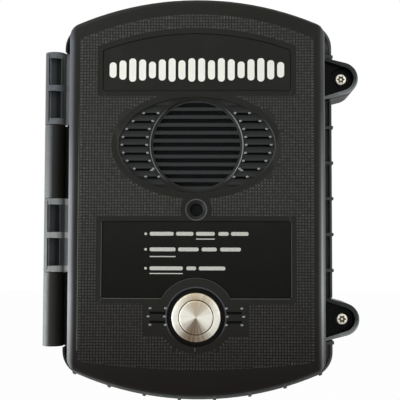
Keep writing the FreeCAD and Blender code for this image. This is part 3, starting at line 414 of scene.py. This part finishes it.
def turned_steel(name, centre_x, centre_z, fan):
    """Stainless steel turned on a lathe: fine rings, a painted reflection fan of light and dark across them,
    darker and browner below, and painted shadow in the gap round the cap and in the screw socket.
    """
    light = srgb(246, 244, 232)
    finish = Finish(name, light, 0.3, Metallic=1.0)
    x, forward, z = finish.axes()
    across = x - centre_x
    up = z - centre_z
    radius = finish.length(across, up)
    reach = radius + 0.01
    angle = finish.maths("ARCTAN2", up, across)
    sweep = finish.clamp(0.5 - 0.62 * finish.maths("COSINE", angle * 2 + 0.25))
    low = finish.clamp(0.5 - up / reach * 0.5)
    streak = finish.noise(0.16, 3, finish.vector(across / reach, up / reach, radius * 0.004))
    rings = finish.noise(0.12, 2, finish.vector(radius, 0, 0))
    # Painted reflection: the fan's dark sectors, browner and darker below
    dark = finish.mix(low, srgb(190, 175, 150), srgb(98, 74, 48))
    shade = finish.clamp(sweep * fan + (streak - 0.5) * 0.8)
    painted_fan = finish.mix(shade, light, dark)
    # Painted shadow in the gap between cap and bezel
    seam_shadow = finish.clamp(near(radius, SEAM_RADIUS, 0.5) * 1.3)
    # Painted shadow in the screw's socket
    socket = (radius < 2.7) * (forward < 61.75)
    finish.set("Base Color", finish.mix(finish.clamp(seam_shadow + socket), painted_fan, srgb(100, 88, 68)))
    finish.set("Roughness", finish.clamp(0.24 + 0.14 * rings + 0.1 * streak))
    finish.bump(rings, 0.012)
    return finish


def rubber(name, colour):
    """Dull rubber with a faint bloom."""
    finish = Finish(name, colour, 0.82, Specular_IOR_Level=0.1)
    bloom = finish.noise(9, 4)
    fine = finish.noise(0.5, 2)
    finish.set("Base Color", finish.mix(bloom, colour, srgb(32, 30, 29)))
    finish.set("Roughness", 0.74 + 0.16 * bloom)
    finish.bump(fine, 0.02)
    return finish


def label_film():
    """Satin black film with a fine orange-peel and faint rubbing, painted darker towards the bottom as
    shade.
    """
    colour = srgb(31, 31, 29)
    finish = Finish("label_film", colour, 0.42, Specular_IOR_Level=0.08)
    peel = finish.noise(0.7, 2)
    wear_and_highlight = finish.noise(15, 5)
    x, forward, z = finish.axes()
    scuff = finish.noise(0.5, 3, finish.vector(x * 0.05, forward, z))
    faded = finish.mix(finish.clamp((wear_and_highlight - 0.5) * 1.6), colour, srgb(43, 43, 38))
    # Painted shade: the film darkens towards the bottom
    finish.set("Base Color", finish.mix(finish.clamp((z + 60) / 120), srgb(13, 13, 10), faded))
    finish.set("Roughness", finish.clamp(0.34 + 0.16 * wear_and_highlight + 0.1 * (scuff - 0.5)))
    finish.bump(peel, 0.008)
    return finish


def print_ink(name, colour, faded):
    """Matt ink that has faded in patches."""
    finish = Finish(name, colour, 0.5, Specular_IOR_Level=0.2)
    patch = finish.noise(1.1, 4)
    finish.set("Base Color", finish.mix(finish.clamp((patch - 0.45) * 1.4), colour, faded))
    finish.set("Roughness", 0.42 + 0.16 * patch)
    finish.bump(finish.noise(0.3, 2), 0.004)
    return finish


def grained_face():
    """The case plastic on the grained field: painted shade in the gaps between the studs, stud tops paler in
    patches of wear, and painted shade darkening the field towards the bottom.
    """
    finish = Finish("grained_face", srgb(46, 48, 45), 0.5, Specular_IOR_Level=0.1)
    x, forward, z = finish.axes()
    height = finish.clamp((forward - FACE - GRAIN_LIFT) / STUD_HEIGHT)
    cloud = finish.noise(30, 4)
    patch = finish.noise(2.2, 2)
    fine = finish.noise(0.3, 2)
    # Painted shade: darker towards the bottom
    rise = finish.clamp((z + 112) / 110)
    top = finish.mix(finish.clamp(patch * 1.6 - 0.4), srgb(49, 51, 48), srgb(96, 97, 91))
    # Painted shade in the gaps between the studs
    ground = finish.mix(rise, srgb(19, 15, 14), srgb(39, 40, 38))
    wear_and_shade = height * (0.4 + 0.6 * cloud) * (0.4 + 0.6 * rise)
    finish.set("Base Color", finish.mix(wear_and_shade, ground, top))
    finish.set("Roughness", finish.clamp(0.58 - 0.16 * height + 0.1 * cloud + 0.08 * (fine - 0.5)))
    finish.bump(fine, 0.012)
    return finish


def solder_mask():
    """Green lacquered board with fine copper runs under the lacquer."""
    colour = srgb(27, 98, 60)
    finish = Finish("solder_mask", colour, 0.36, Coat_Weight=0.3)
    x, forward, z = finish.axes()
    patch = finish.noise(11, 0, finish.vector(x, 0, z))
    along = (x + z * (patch > 0.5)) % 1.6
    run = (along < 0.55) * (finish.noise(6, 1, finish.vector(x, 4, z)) > 0.47)
    finish.set("Base Color", finish.mix(run, colour, srgb(60, 146, 83)))
    finish.set("Roughness", 0.3 + 0.16 * finish.noise(5, 3))
    finish.bump(run, 0.03)
    return finish


def cell_sleeve(name, plus_end):
    """Printed sleeve of a round cell: dark body, a copper-coloured plus end, steel ends."""
    finish = Finish(name, srgb(42, 44, 50), 0.34)
    x, forward, z = finish.axes()
    band = (x > plus_end[0]) * (x < plus_end[1])
    facing = finish.node("ShaderNodeNewGeometry", {}, {}, "Normal")
    end = abs(finish.node("ShaderNodeSeparateXYZ", {}, {"Vector": facing}, "X")) > 0.9
    scuff = finish.noise(3, 4)
    sleeve = finish.mix(band, finish.mix(scuff, srgb(37, 39, 44), srgb(57, 60, 65)), srgb(168, 104, 58))
    finish.set("Base Color", finish.mix(end, sleeve, srgb(190, 188, 182)))
    finish.set("Metallic", finish.clamp(end + band * 0.6))
    finish.set("Roughness", 0.26 + 0.16 * scuff)
    finish.bump(finish.noise(0.6, 2), 0.006)
    return finish


def wound_wire():
    """Enamelled copper wire wound side by side along x, with painted shade between the turns."""
    colour = srgb(156, 78, 38)
    finish = Finish("wound_wire", colour, 0.3, Metallic=1.0, Coat_Weight=0.5)
    x, forward, z = finish.axes()
    turn = finish.maths("SINE", x * (2 * math.pi / 0.6)) * 0.5 + 0.5
    # Painted shade in the grooves between the turns
    finish.set("Base Color", finish.mix(turn, srgb(70, 32, 16), colour))
    finish.set("Roughness", 0.26 + 0.12 * finish.noise(2, 2))
    finish.bump(turn, 0.2)
    return finish


def woven_mesh():
    """Fine black wire cloth behind the grille, its gaps painted near black as shade."""
    finish = Finish("woven_mesh", srgb(17, 18, 22), 0.7, Specular_IOR_Level=0.1)
    x, forward, z = finish.axes()
    warp = finish.maths("SINE", x * (2 * math.pi / 0.9))
    weft = finish.maths("SINE", z * (2 * math.pi / 0.9))
    wire = finish.clamp(finish.maths("MAXIMUM", warp, weft))
    # Painted shade in the gaps between the wires
    finish.set("Base Color", finish.mix(wire, srgb(4, 4, 5), srgb(22, 23, 27)))
    finish.set("Roughness", 0.7 - 0.25 * wire)
    finish.bump(wire, 0.12)
    return finish


def pressed_paper():
    """Grey, fibrous paper."""
    finish = Finish("pressed_paper", srgb(65, 62, 60), 0.9)
    fibre = finish.noise(0.9, 5)
    finish.set("Base Color", finish.mix(fibre, srgb(47, 46, 43), srgb(88, 84, 80)))
    finish.set("Roughness", 0.84 + 0.1 * fibre)
    finish.bump(fibre, 0.08)
    return finish


finishes = {
    "base": base_plastic(),
    "cover": cover_plastic(),
    # Pale bead plastic: painted glints at the groove ends, with wear on its edges
    "wear_and_highlight": moulded("glint_plastic", srgb(121, 123, 121), 0.34),
    # Paler lip plastic: a painted highlight along the label's edges
    "lip": moulded("lip_plastic", srgb(72, 72, 69), 0.38, Specular_IOR_Level=0.2),
    "face": grained_face(),
    "label": label_film(),
    "ink": print_ink("headline_ink", srgb(224, 225, 216), srgb(214, 215, 206)),
    "small_ink": print_ink("line_ink", srgb(178, 179, 172), srgb(158, 158, 151)),
    "bezel": turned_steel("turned_bezel", 0, BUTTON_Z, 0.9),
    "cap": turned_steel("turned_cap", 0, BUTTON_Z, 0.92),
    "upper_screw": turned_steel("turned_upper_screw", SCREW_X, SCREW_HEIGHTS["upper"], 0.3),
    "lower_screw": turned_steel("turned_lower_screw", SCREW_X, SCREW_HEIGHTS["lower"], 0.3),
    "stainless": metal("stainless_rod", srgb(196, 190, 182), 0.32),
    "zinc": metal("zinc_plate", srgb(176, 178, 178), 0.36, 0.2),
    "brass": metal("brass_bar", srgb(196, 160, 90), 0.32, 0.2),
    "nickel": metal("nickel_strip", srgb(202, 198, 188), 0.3, 0.15),
    "tin": metal("tin_plate", srgb(196, 198, 196), 0.38, 0.25),
    "ferrite": moulded("ferrite", srgb(55, 55, 57), 0.6, grain=0.9, depth=0.05),
    "rubber": rubber("seal_rubber", srgb(17, 17, 17)),
    "nylon": moulded("white_nylon", srgb(214, 208, 192), 0.45, grain=0.6, wear=0.1),
    "dark_nylon": moulded("dark_nylon", srgb(39, 39, 41), 0.5, grain=0.5),
    "tray": moulded("tray_plastic", srgb(47, 47, 50), 0.44, grain=0.6),
    "sleeve": moulded("sleeve_film", srgb(34, 39, 62), 0.26, grain=1.5, depth=0.005),
    "dial": moulded("dial_plastic", srgb(40, 92, 160), 0.38, grain=0.6),
    "board": solder_mask(),
    "chip": moulded("chip_resin", srgb(42, 42, 43), 0.55, grain=0.25),
    "passive": moulded("passive_ceramic", srgb(150, 116, 78), 0.5, grain=0.3),
    "wire": wound_wire(),
    "mesh": woven_mesh(),
    "paper": pressed_paper(),
    "cell_right": cell_sleeve("cell_plus_right", (50, 70)),
    "cell_left": cell_sleeve("cell_plus_left", (-70, -50)),
    "cell_right_inner": cell_sleeve("cell_plus_inner_right", (0, 17)),
    "cell_left_inner": cell_sleeve("cell_plus_inner_left", (-17, 0)),
}


# Making pieces

def make_piece(shape, name, body, finish, replaces=(), edge=0.0):
    """Turn a bmesh into a piece that rides a body, with its edges softened where asked."""
    mesh = bpy.data.meshes.new(name)
    shape.to_mesh(mesh)
    shape.free()
    if "custom_normal" in mesh.attributes:
        mesh.attributes.remove(mesh.attributes["custom_normal"])
    mesh.materials.clear()
    mesh.materials.append(finishes[finish].material)
    mesh.polygons.foreach_set("material_index", [0] * len(mesh.polygons))
    mesh.shade_smooth()
    mesh.set_sharp_from_angle(angle=SHARP)
    piece = bpy.data.objects.new(name, mesh)
    bpy.context.collection.objects.link(piece)
    if edge:
        bevel = piece.modifiers.new("Soft edges", "BEVEL")
        bevel.width = edge / 1000
        bevel.segments = 2
        bevel.limit_method = "ANGLE"
        bevel.angle_limit = SHARP
        bevel.use_clamp_overlap = False
        bevel.loop_slide = False
        bevel.harden_normals = True
    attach(piece, body)
    if replaces:
        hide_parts(*replaces)
    return piece


def joined(node):
    """A CAD node's triangles merged into flat faces."""
    shape = bmesh.new()
    shape.from_mesh(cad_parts[node].data)
    bmesh.ops.remove_doubles(shape, verts=shape.verts, dist=2e-6)
    bmesh.ops.dissolve_degenerate(shape, dist=1e-6, edges=shape.edges)
    bmesh.ops.dissolve_limit(shape, angle_limit=math.radians(0.3), verts=shape.verts, edges=shape.edges)
    wide = [face for face in shape.faces if len(face.verts) > 4]
    bmesh.ops.triangulate(shape, faces=wide, quad_method="BEAUTY", ngon_method="BEAUTY")
    return shape


def close_knuckles(shape):
    """Draw the ends of the hinge knuckles together, so that only a hairline shows between them."""
    for vert in shape.verts:
        x, z = vert.co.x * 1000, vert.co.z * 1000
        for middle in (-KNUCKLE_STEP, 0, KNUCKLE_STEP):
            if x < -80 and abs(abs(z - middle) - KNUCKLE_HALF_GAP) < 0.03:
                vert.co.z = (middle + math.copysign(DRAWN_HALF_GAP, z - middle)) / 1000


def softened(node, body, finish, edge):
    """Put a CAD node's own shape in its place, with a finish and softened edges."""
    shape = joined(node)
    if node in ("front_cover", "rear_housing"):
        close_knuckles(shape)
    make_piece(shape, node + "_finished", body, finish, [node], edge)


def turned(profile, x, z, steps=96, closed=False):
    """Spin a profile of radius and forward pairs about a line that runs forward through x and z."""
    shape = bmesh.new()
    points = [shape.verts.new(at(x + radius, forward, z)) for radius, forward in profile]
    following = points[1:] + (points[:1] if closed else [])
    edges = [shape.edges.new(pair) for pair in zip(points, following)]
    bmesh.ops.spin(shape, geom=points + edges, cent=at(x, 0, z), axis=(0, 1, 0), dvec=(0, 0, 0),
                   angle=2 * math.pi, steps=steps, use_merge=True)
    bmesh.ops.remove_doubles(shape, verts=shape.verts, dist=1e-7)
    bmesh.ops.recalc_face_normals(shape, faces=shape.faces)
    return shape


def thread(radius, root, front, back, pitch):
    """Profile points of a screw thread, drawn as rings, from front to back."""
    count = int((front - back) / pitch)
    points = []
    for step in range(count):
        points.append((root, front - step * pitch))
        points.append((radius, front - (step + 0.5) * pitch))
    return points + [(root, back)]


def bar(shape, left, right, low, high, round_by, back, front):
    """Flat bar with rounded corners, standing from back to front."""
    corners = [shape.verts.new(at(x, back, z)) for x, z in
               ((left, low), (right, low), (right, high), (left, high))]
    face = shape.faces.new(corners)
    if round_by:
        made = bmesh.ops.bevel(shape, geom=corners, offset=round_by / 1000, offset_type="OFFSET", segments=6,
                               profile=0.5, affect="VERTICES", material=-1)
        face = made["verts"][0].link_faces[0]
    made = bmesh.ops.extrude_face_region(shape, geom=[face])
    moved = [item for item in made["geom"] if isinstance(item, bmesh.types.BMVert)]
    bmesh.ops.translate(shape, verts=moved, vec=at(0, front - back, 0))


def block(shape, x, back, z, width, depth, height):
    """Box standing on back, placed by its middle."""
    turn = Matrix.Diagonal((width / 1000, depth / 1000, height / 1000, 1))
    bmesh.ops.create_cube(shape, size=1, matrix=Matrix.Translation(at(x, back + depth / 2, z)) @ turn)


# The grained field of the face

def grain_room(x, z):
    """How far a point of the face lies inside the grained field, in millimetres."""
    oval_x, oval_z = 52.4, 33.4
    up = z - SPEAKER_Z
    ratio = math.hypot(x / oval_x, up / oval_z)
    slope = math.hypot(x / oval_x ** 2, up / oval_z ** 2) or 1
    return min(
        72.6 - abs(x),
        180.4 - math.hypot(x, z - ARCH_MIDDLE),
        554 - math.hypot(x, z - (554 - 106.6)),
        max(abs(x) - 61.4, 62.2 - z, math.hypot(x, z + 66) - 170.4),
        max(abs(x) - 61.4, z + 12.6, -65.6 - z),
        ratio * (ratio - 1) / slope,
        math.hypot(x, z - MICROPHONE_Z) - 9.6,
        math.hypot(x, z - BUTTON_Z) - 21.6,
        max(abs(x) - 32.4, abs(z - BUTTON_Z) - 11.4),
    )


def square_enough(face):
    """Whether a cell kept its shape when the border was drawn through it."""
    corners = all(math.radians(55) < loop.calc_angle() < math.radians(125) for loop in face.loops)
    return corners and face.calc_area() * 1e6 > 0.55 * GRAIN_PITCH ** 2


def grained_field():
    """Square grid of low studs, trimmed to the field's borders."""
    columns, rows = 84, 134
    shape = bmesh.new()
    bmesh.ops.create_grid(shape, x_segments=columns, y_segments=rows, size=0.5)
    size = Matrix.Diagonal((columns * GRAIN_PITCH / 1000, rows * GRAIN_PITCH / 1000, 1, 1))
    upright = Matrix.Rotation(math.radians(90), 4, "X")
    place = Matrix.Translation(at(0, FACE + GRAIN_LIFT, 0)) @ upright @ size
    bmesh.ops.transform(shape, matrix=place, verts=shape.verts)
    bmesh.ops.recalc_face_normals(shape, faces=shape.faces)
    if shape.faces[:][0].normal.y > 0:
        bmesh.ops.reverse_faces(shape, faces=shape.faces)
    outside = []
    for face in shape.faces:
        middle = face.calc_center_median() * 1000
        if grain_room(middle.x, middle.z) < 0.1:
            outside.append(face)
    bmesh.ops.delete(shape, geom=outside, context="FACES")
    for vert in shape.verts:
        if not vert.is_boundary:
            continue
        for _ in range(3):
            x, z = vert.co.x * 1000, vert.co.z * 1000
            room = grain_room(x, z)
            lean_x = (grain_room(x + 0.05, z) - grain_room(x - 0.05, z)) / 0.1
            lean_z = (grain_room(x, z + 0.05) - grain_room(x, z - 0.05)) / 0.1
            steep = max(lean_x ** 2 + lean_z ** 2, 0.5)
            vert.co -= at(lean_x, 0, lean_z) * (room / steep)
    border = [edge for edge in shape.edges if edge.is_boundary]
    whole = [face for face in shape.faces if square_enough(face)]
    for inward, outward in ((STUD_GAP, 0), (STUD_SLOPE, STUD_HEIGHT)):
        bmesh.ops.inset_individual(shape, faces=whole, thickness=inward / 1000, depth=outward / 1000,
                                   use_even_offset=True)
    made = bmesh.ops.extrude_edge_only(shape, edges=border)
    skirt = [item for item in made["geom"] if isinstance(item, bmesh.types.BMVert)]
    bmesh.ops.translate(shape, verts=skirt, vec=at(0, -0.1, 0))
    make_piece(shape, "grained_field", "cover", "face")


# Small moulded detail of the face

def bead(shape, x, forward, z):
    """Low bead, as the end of a groove leaves."""
    size = Matrix.Diagonal((0.00092, 0.0003, 0.00066, 1))
    bmesh.ops.create_uvsphere(shape, u_segments=14, v_segments=8, radius=1,
                              matrix=Matrix.Translation(at(x, forward, z)) @ size)


def groove_ends():
    """Beads at both ends of the grooves in the recess and beside the push button, in a pale plastic that is
    a painted glint.
    """
    shape = bmesh.new()
    for step in range(-4, 5):
        rise = step * SLAT_PITCH - 0.4
        outer = 46.3 * math.sqrt(1 - (rise / 27.5) ** 2)
        inner = math.sqrt(30.8 ** 2 - rise ** 2)
        for x in (-outer, -inner, inner, outer):
            bead(shape, x, OVAL_FLOOR, SPEAKER_Z + rise + 0.6)
    for level, spread in ((5.6, 0), (0.6, 1.2), (-4.5, 0)):
        for side in (-1, 1):
            for x in (18.6 + spread / 2, 28.1 + spread):
                bead(shape, side * x, FACE, BUTTON_Z + level)
    make_piece(shape, "groove_ends", "cover", "wear_and_highlight")


def label_lip():
    """Thin lip along the sides and the lower edge of the instruction label, in a paler plastic that is a
    painted highlight, and a mark under the button.
    """
    shape = bmesh.new()
    low, high, side = -63.0, -16.5, 58.45
    back, front = FACE - 0.05, FACE + 0.09
    for sign in (-1, 1):
        left, right = sorted((sign * 21.6, sign * (side - 1.2)))
        bar(shape, left, right, low - 0.16, low + 0.16, 0.1, back, front)
        bar(shape, sign * side - 0.14, sign * side + 0.14, low + 1.2, high, 0.1, back, front)
    bar(shape, -0.8, -0.4, -95.3, -92.9, 0.1, back, front)
    make_piece(shape, "label_lip", "cover", "lip")


# Printed fields of the two labels

def headline_field():
    """A row of round-ended bars, as loudspeakers are marked."""
    half = (14.6, 12.0, 14.6, 13.2, 10.4, 13.2, 14.6, 12.0, 9.6)
    heights = half[::-1] + half
    pitch, width, middle = 6.12, 4.3, 78.4
    shape = bmesh.new()
    for step, height in enumerate(heights):
        x = (step - (len(heights) - 1) / 2) * pitch
        bar(shape, x - width / 2, x + width / 2, middle - height / 2, middle + height / 2, 2.0,
            LABEL_FRONT - 0.02, LABEL_FRONT + 0.05)
    make_piece(shape, "headline_field", "cover", "ink")


def instruction_fields():
    """Three lines of word-long bars, each after a dot, with one bar underlined."""
    lines = (
        (-23.3, ((-28.6, -13.9), (-12.3, -1.7), (-0.1, 11.4), (13.6, 19.9), (21.4, 32.1)), 2, 3.2),
        (-32.9, ((-28.6, -12.7), (-11.1, 1.5), (3.4, 12.6), (14.8, 27.4)), 0, 4.4),
        (-44.5, ((-28.6, -8.2), (-6.0, -0.1), (1.7, 17.9)), 0, 3.2),
    )
    shape = bmesh.new()
    back, front = LABEL_FRONT - 0.02, LABEL_FRONT + 0.05
    for z, words, underlined, drop in lines:
        bar(shape, -31.9, -30.3, z - 0.8, z + 0.8, 0.75, back, front)
        for step, (left, right) in enumerate(words):
            bar(shape, left, right, z - 1.15, z + 1.15, 0.9, back, front)
            if step == underlined:
                bar(shape, left, right, z - drop - 0.3, z - drop + 0.3, 0.1, back, front)
    make_piece(shape, "instruction_fields", "cover", "small_ink")


# The push button and the cover screws

def push_button():
    bezel = [(10.58, 78.6), (10.58, 88.15), (10.95, 88.55), (11.4, 88.6), (14.0, 88.6), (14.75, 88.35),
             (15.1, 87.8), (15.1, 85.8), (12.4, 85.8), (12.4, 83.5)]
    bezel += thread(12.4, 11.95, 83.2, 64.4, 1.0) + [(11.6, 63.8), (10.0, 63.8), (10.0, 75.6), (4.08, 75.6),
                                                     (4.08, 78.6)]
    make_piece(turned(bezel, 0, BUTTON_Z, 128, closed=True), "button_bezel_turned", "cover", "bezel",
               ["button_bezel"], 0.08)
    cap = [(0, 88.78), (4.0, 88.79), (7.5, 88.84), (9.5, 88.89), (10.0, 88.84), (10.35, 88.62), (10.5, 88.2),
           (10.5, 80.9), (4.0, 80.9), (4.0, 74.9), (0, 74.9)]
    make_piece(turned(cap, 0, BUTTON_Z, 128), "button_cap_turned", "button", "cap",
               ["button_cap"], 0.06)


def lobed(angle):
    """Radius of the screw's six-lobed socket."""
    return 2.05 + 0.4 * math.cos(6 * angle)


def cover_screw(level, z):
    """Pan head with a six-lobed socket and a centre pin, on a threaded shank."""
    top, floor, steps = 62.48, 60.9, 72
    underside = 59.93
    profile = [(2.75, top), (3.2, 62.38), (3.6, 62.14), (3.87, 61.7), (3.98, 61.1),
               (4.0, underside), (1.65, underside)]
    profile += thread(1.98, 1.6, 59.2, 50.4, 0.7) + [(1.1, 50.0), (0, 50.0)]
    shape = turned(profile, SCREW_X, z, steps)
    rim = [edge for edge in shape.edges if edge.is_boundary]
    for forward in (top, floor):
        made = bmesh.ops.extrude_edge_only(shape, edges=rim)
        moved = {item for item in made["geom"] if isinstance(item, bmesh.types.BMVert)}
        rim = [edge for edge in shape.edges if moved.issuperset(edge.verts)]
        for vert in moved:
            across, up = vert.co.x * 1000 - SCREW_X, vert.co.z * 1000 - z
            angle = math.atan2(up, across)
            reach = lobed(angle)
            vert.co = at(SCREW_X + reach * math.cos(angle), forward, z + reach * math.sin(angle))
    bmesh.ops.edgeloop_fill(shape, edges=rim)
    pin = Matrix.Translation(at(SCREW_X, floor + 0.55, z)) @ Matrix.Rotation(math.radians(90), 4, "X")
    bmesh.ops.create_cone(shape, cap_ends=True, segments=24, radius1=0.00085, radius2=0.0007, depth=0.0011,
                          matrix=pin)
    bmesh.ops.recalc_face_normals(shape, faces=shape.faces)
    node = "cover_screw_" + level
    make_piece(shape, node + "_turned", level + "_screw", level + "_screw", [node], 0.06)


# Small parts soldered to the radio board

def board_parts():
    generator = random.Random(11)
    board_front = 11.6
    chips = bmesh.new()
    legs = bmesh.new()
    for x, z, width, height in ((-22, 40, 12, 12), (0, 41, 9, 7), (38, 50, 6, 8), (8, 66, 5, 9)):
        block(chips, x, board_front + 0.3, z, width, 1.4, height)
        for side in (-1, 1):
            for step in range(int(height / 1.27)):
                leg_z = z + (step - (int(height / 1.27) - 1) / 2) * 1.27
                block(legs, x + side * (width / 2 + 0.5), board_front, leg_z, 1.4, 0.5, 0.5)
    passives = bmesh.new()
    for x0, z0, columns, rows in ((-44, 34, 3, 6), (12, 33, 2, 6), (42, 32, 2, 4), (11, 52, 1, 4)):
        for column in range(columns):
            for row in range(rows):
                if generator.random() < 0.2:
                    continue
                x, z = x0 + column * 3.6, z0 + row * 2.7
                block(passives, x, board_front, z, 1.7, 0.7, 1.2)
                for side in (-1, 1):
                    block(legs, x + side * 1.1, board_front, z, 0.5, 0.74, 1.26)
    make_piece(chips, "board_chips", "base", "chip", edge=0.12)
    make_piece(passives, "board_passives", "base", "passive", edge=0.06)
    make_piece(legs, "board_solder", "base", "tin", edge=0.05)


# Stage, lights and camera

def make_stage():
    bpy.ops.mesh.primitive_plane_add(size=12, location=(0, 0, -0.35))
    floor = bpy.context.object
    floor.name = "floor"
    paper = Finish("floor_paper", (0.93, 0.93, 0.93, 1), 0.9, Specular_IOR_Level=0.1)
    seen = paper.node("ShaderNodeLightPath", {}, {}, "Is Camera Ray")
    shining = paper.node("ShaderNodeEmission", {}, {"Color": (1, 1, 1, 1), "Strength": 1.0})
    plain = Wire(paper, paper.shader.outputs["BSDF"])
    both = paper.node("ShaderNodeMixShader", {}, {0: seen * 0.97, 1: plain, 2: shining})
    paper.feed(paper.tree.nodes["Material Output"].inputs["Surface"], both)
    floor.data.materials.append(paper.material)


def make_world():
    world = bpy.data.worlds.new("Studio")
    bpy.context.scene.world = world
    world.use_nodes = True
    tree = world.node_tree
    tree.nodes.clear()
    path = tree.nodes.new("ShaderNodeLightPath")
    fill = tree.nodes.new("ShaderNodeBackground")
    fill.inputs["Color"].default_value = (1, 1, 1, 1)
    fill.inputs["Strength"].default_value = 0.45
    white = tree.nodes.new("ShaderNodeBackground")
    white.inputs["Color"].default_value = (1, 1, 1, 1)
    white.inputs["Strength"].default_value = 1.0
    total = path.outputs["Is Camera Ray"]
    for kind in ("Is Glossy Ray", "Is Transmission Ray"):
        either = tree.nodes.new("ShaderNodeMath")
        either.operation = "MAXIMUM"
        tree.links.new(total, either.inputs[0])
        tree.links.new(path.outputs[kind], either.inputs[1])
        total = either.outputs[0]
    mixed = tree.nodes.new("ShaderNodeMixShader")
    tree.links.new(total, mixed.inputs[0])
    tree.links.new(fill.outputs[0], mixed.inputs[1])
    tree.links.new(white.outputs[0], mixed.inputs[2])
    output = tree.nodes.new("ShaderNodeOutputWorld")
    tree.links.new(mixed.outputs[0], output.inputs[0])


def soft_light(name, place, target, width, height, power):
    data = bpy.data.lights.new(name, "AREA")
    data.shape = "RECTANGLE"
    data.size = width
    data.size_y = height
    data.energy = power
    lamp = bpy.data.objects.new(name, data)
    lamp.location = place
    lamp.rotation_euler = (Vector(target) - Vector(place)).to_track_quat("-Z", "Y").to_euler()
    bpy.context.collection.objects.link(lamp)


def make_camera():
    """Stand where the photograph was taken: right of the middle, a little low, tipped up by 3 degrees."""
    pitch, yaw, roll = 0.05303, -0.02324, -0.00286
    level = Vector((math.sin(yaw), math.cos(yaw), 0))
    right = Vector((math.cos(yaw), -math.sin(yaw), 0))
    forward = level * math.cos(pitch) + Vector((0, 0, math.sin(pitch)))
    up = Vector((0, 0, math.cos(pitch))) - level * math.sin(pitch)
    tilted_right = right * math.cos(roll) - up * math.sin(roll)
    tilted_up = right * math.sin(roll) + up * math.cos(roll)
    data = bpy.data.cameras.new("Camera")
    data.lens = 80.766
    data.sensor_width = 36
    camera = bpy.data.objects.new("Camera", data)
    turn = Matrix((tilted_right, tilted_up, -forward)).transposed().to_4x4()
    camera.matrix_world = Matrix.Translation((0.0151, -0.63952, -0.03178)) @ turn
    bpy.context.collection.objects.link(camera)
    bpy.context.scene.camera = camera


BASE_NODES = [
    ("rear_housing", "base", "case_plastic", 0.35),
    ("case_gasket", "rubber", "seal_rubber", 0.2),
    ("hinge_pin", "stainless", "stainless_steel", 0.15),
    ("threaded_inserts", "brass", "brass", 0.1),
    ("radio_board", "board", "board_laminate", 0.08),
    ("board_screws", "zinc", "zinc_steel", 0.25),
    ("shield_can", "tin", "tin_plate", 0.12),
    ("wire_connectors", "nylon", "nylon", 0.25),
    ("filter_capacitors", "sleeve", "sleeve_film", 0.5),
    ("channel_dial", "dial", "control_plastic", 0.3),
    ("antenna_clip", "nylon", "nylon", 0),
    ("antenna_coil", "wire", "copper_coil", 0.2),
    ("battery_tray", "tray", "tray_plastic", 0.25),
    ("tray_screws", "zinc", "zinc_steel", 0.25),
    ("outer_contacts", "nickel", "spring_contact", 0.1),
    ("centre_contacts", "nickel", "spring_contact", 0.1),
    ("battery_cell_1", "cell_left_inner", "cell_jacket", 0.6),
    ("battery_cell_2", "cell_right", "cell_jacket", 0.6),
    ("battery_cell_3", "cell_left", "cell_jacket", 0.6),
    ("battery_cell_4", "cell_right_inner", "cell_jacket", 0.6),
    ("battery_cell_5", "cell_left_inner", "cell_jacket", 0.6),
    ("battery_cell_6", "cell_right", "cell_jacket", 0.6),
]
COVER_NODES = [
    ("front_cover", "cover", "case_plastic", 0.3),
    ("top_label", "label", "label_film", 0.12),
    ("instruction_label", "label", "label_film", 0.12),
    ("grille_screen", "mesh", "black_mesh", 0.05),
    ("speaker_gasket", "rubber", "seal_rubber", 0.1),
    ("speaker_basket", "zinc", "zinc_steel", 0.15),
    ("speaker_magnet", "ferrite", "zinc_steel", 0.4),
    ("speaker_cone", "paper", "paper_cone", 0.1),
    ("speaker_screws", "zinc", "zinc_steel", 0.25),
    ("microphone_boot", "rubber", "seal_rubber", 0.2),
    ("microphone", "mesh", "black_mesh", 0.15),
    ("button_gasket", "rubber", "seal_rubber", 0.1),
    ("button_nut", "zinc", "stainless_steel", 0.3),
    ("switch_body", "dark_nylon", "nylon", 0.3),
    ("switch_terminals", "nickel", "brass", 0.08),
    ("screw_retainers", "nylon", "nylon", 0.08),
]

for body, listed in (("base", BASE_NODES), ("cover", COVER_NODES)):
    for node, finish, slot, edge in listed:
        softened(node, body, finish, edge)
grained_field()
groove_ends()
label_lip()
headline_field()
instruction_fields()
push_button()
for level, z in SCREW_HEIGHTS.items():
    cover_screw(level, z)
board_parts()

make_stage()
make_world()
soft_light("Key", (-0.34, -0.58, 0.56), (0, -0.06, 0.03), 0.3, 0.3, 2.24)
soft_light("Fill", (0.9, -1.4, 0.3), (0, -0.05, 0), 0.7, 0.9, 1.2)
soft_light("Left wall", (-0.58, -0.2, -0.22), (-0.08, -0.05, -0.04), 0.7, 0.6, 6.8)
soft_light("Left back", (-0.9, 0.22, 0.0), (-0.08, -0.05, 0), 0.35, 1.4, 1.2)
soft_light("Right wall", (1.1, -0.12, 0.1), (0.08, -0.05, 0), 0.4, 1.3, 5.6)
soft_light("Top edge", (0.1, -0.3, 1.1), (0, -0.05, 0), 1.2, 0.3, 2.4)
make_camera()
bpy.context.scene.view_settings.view_transform = "Standard"
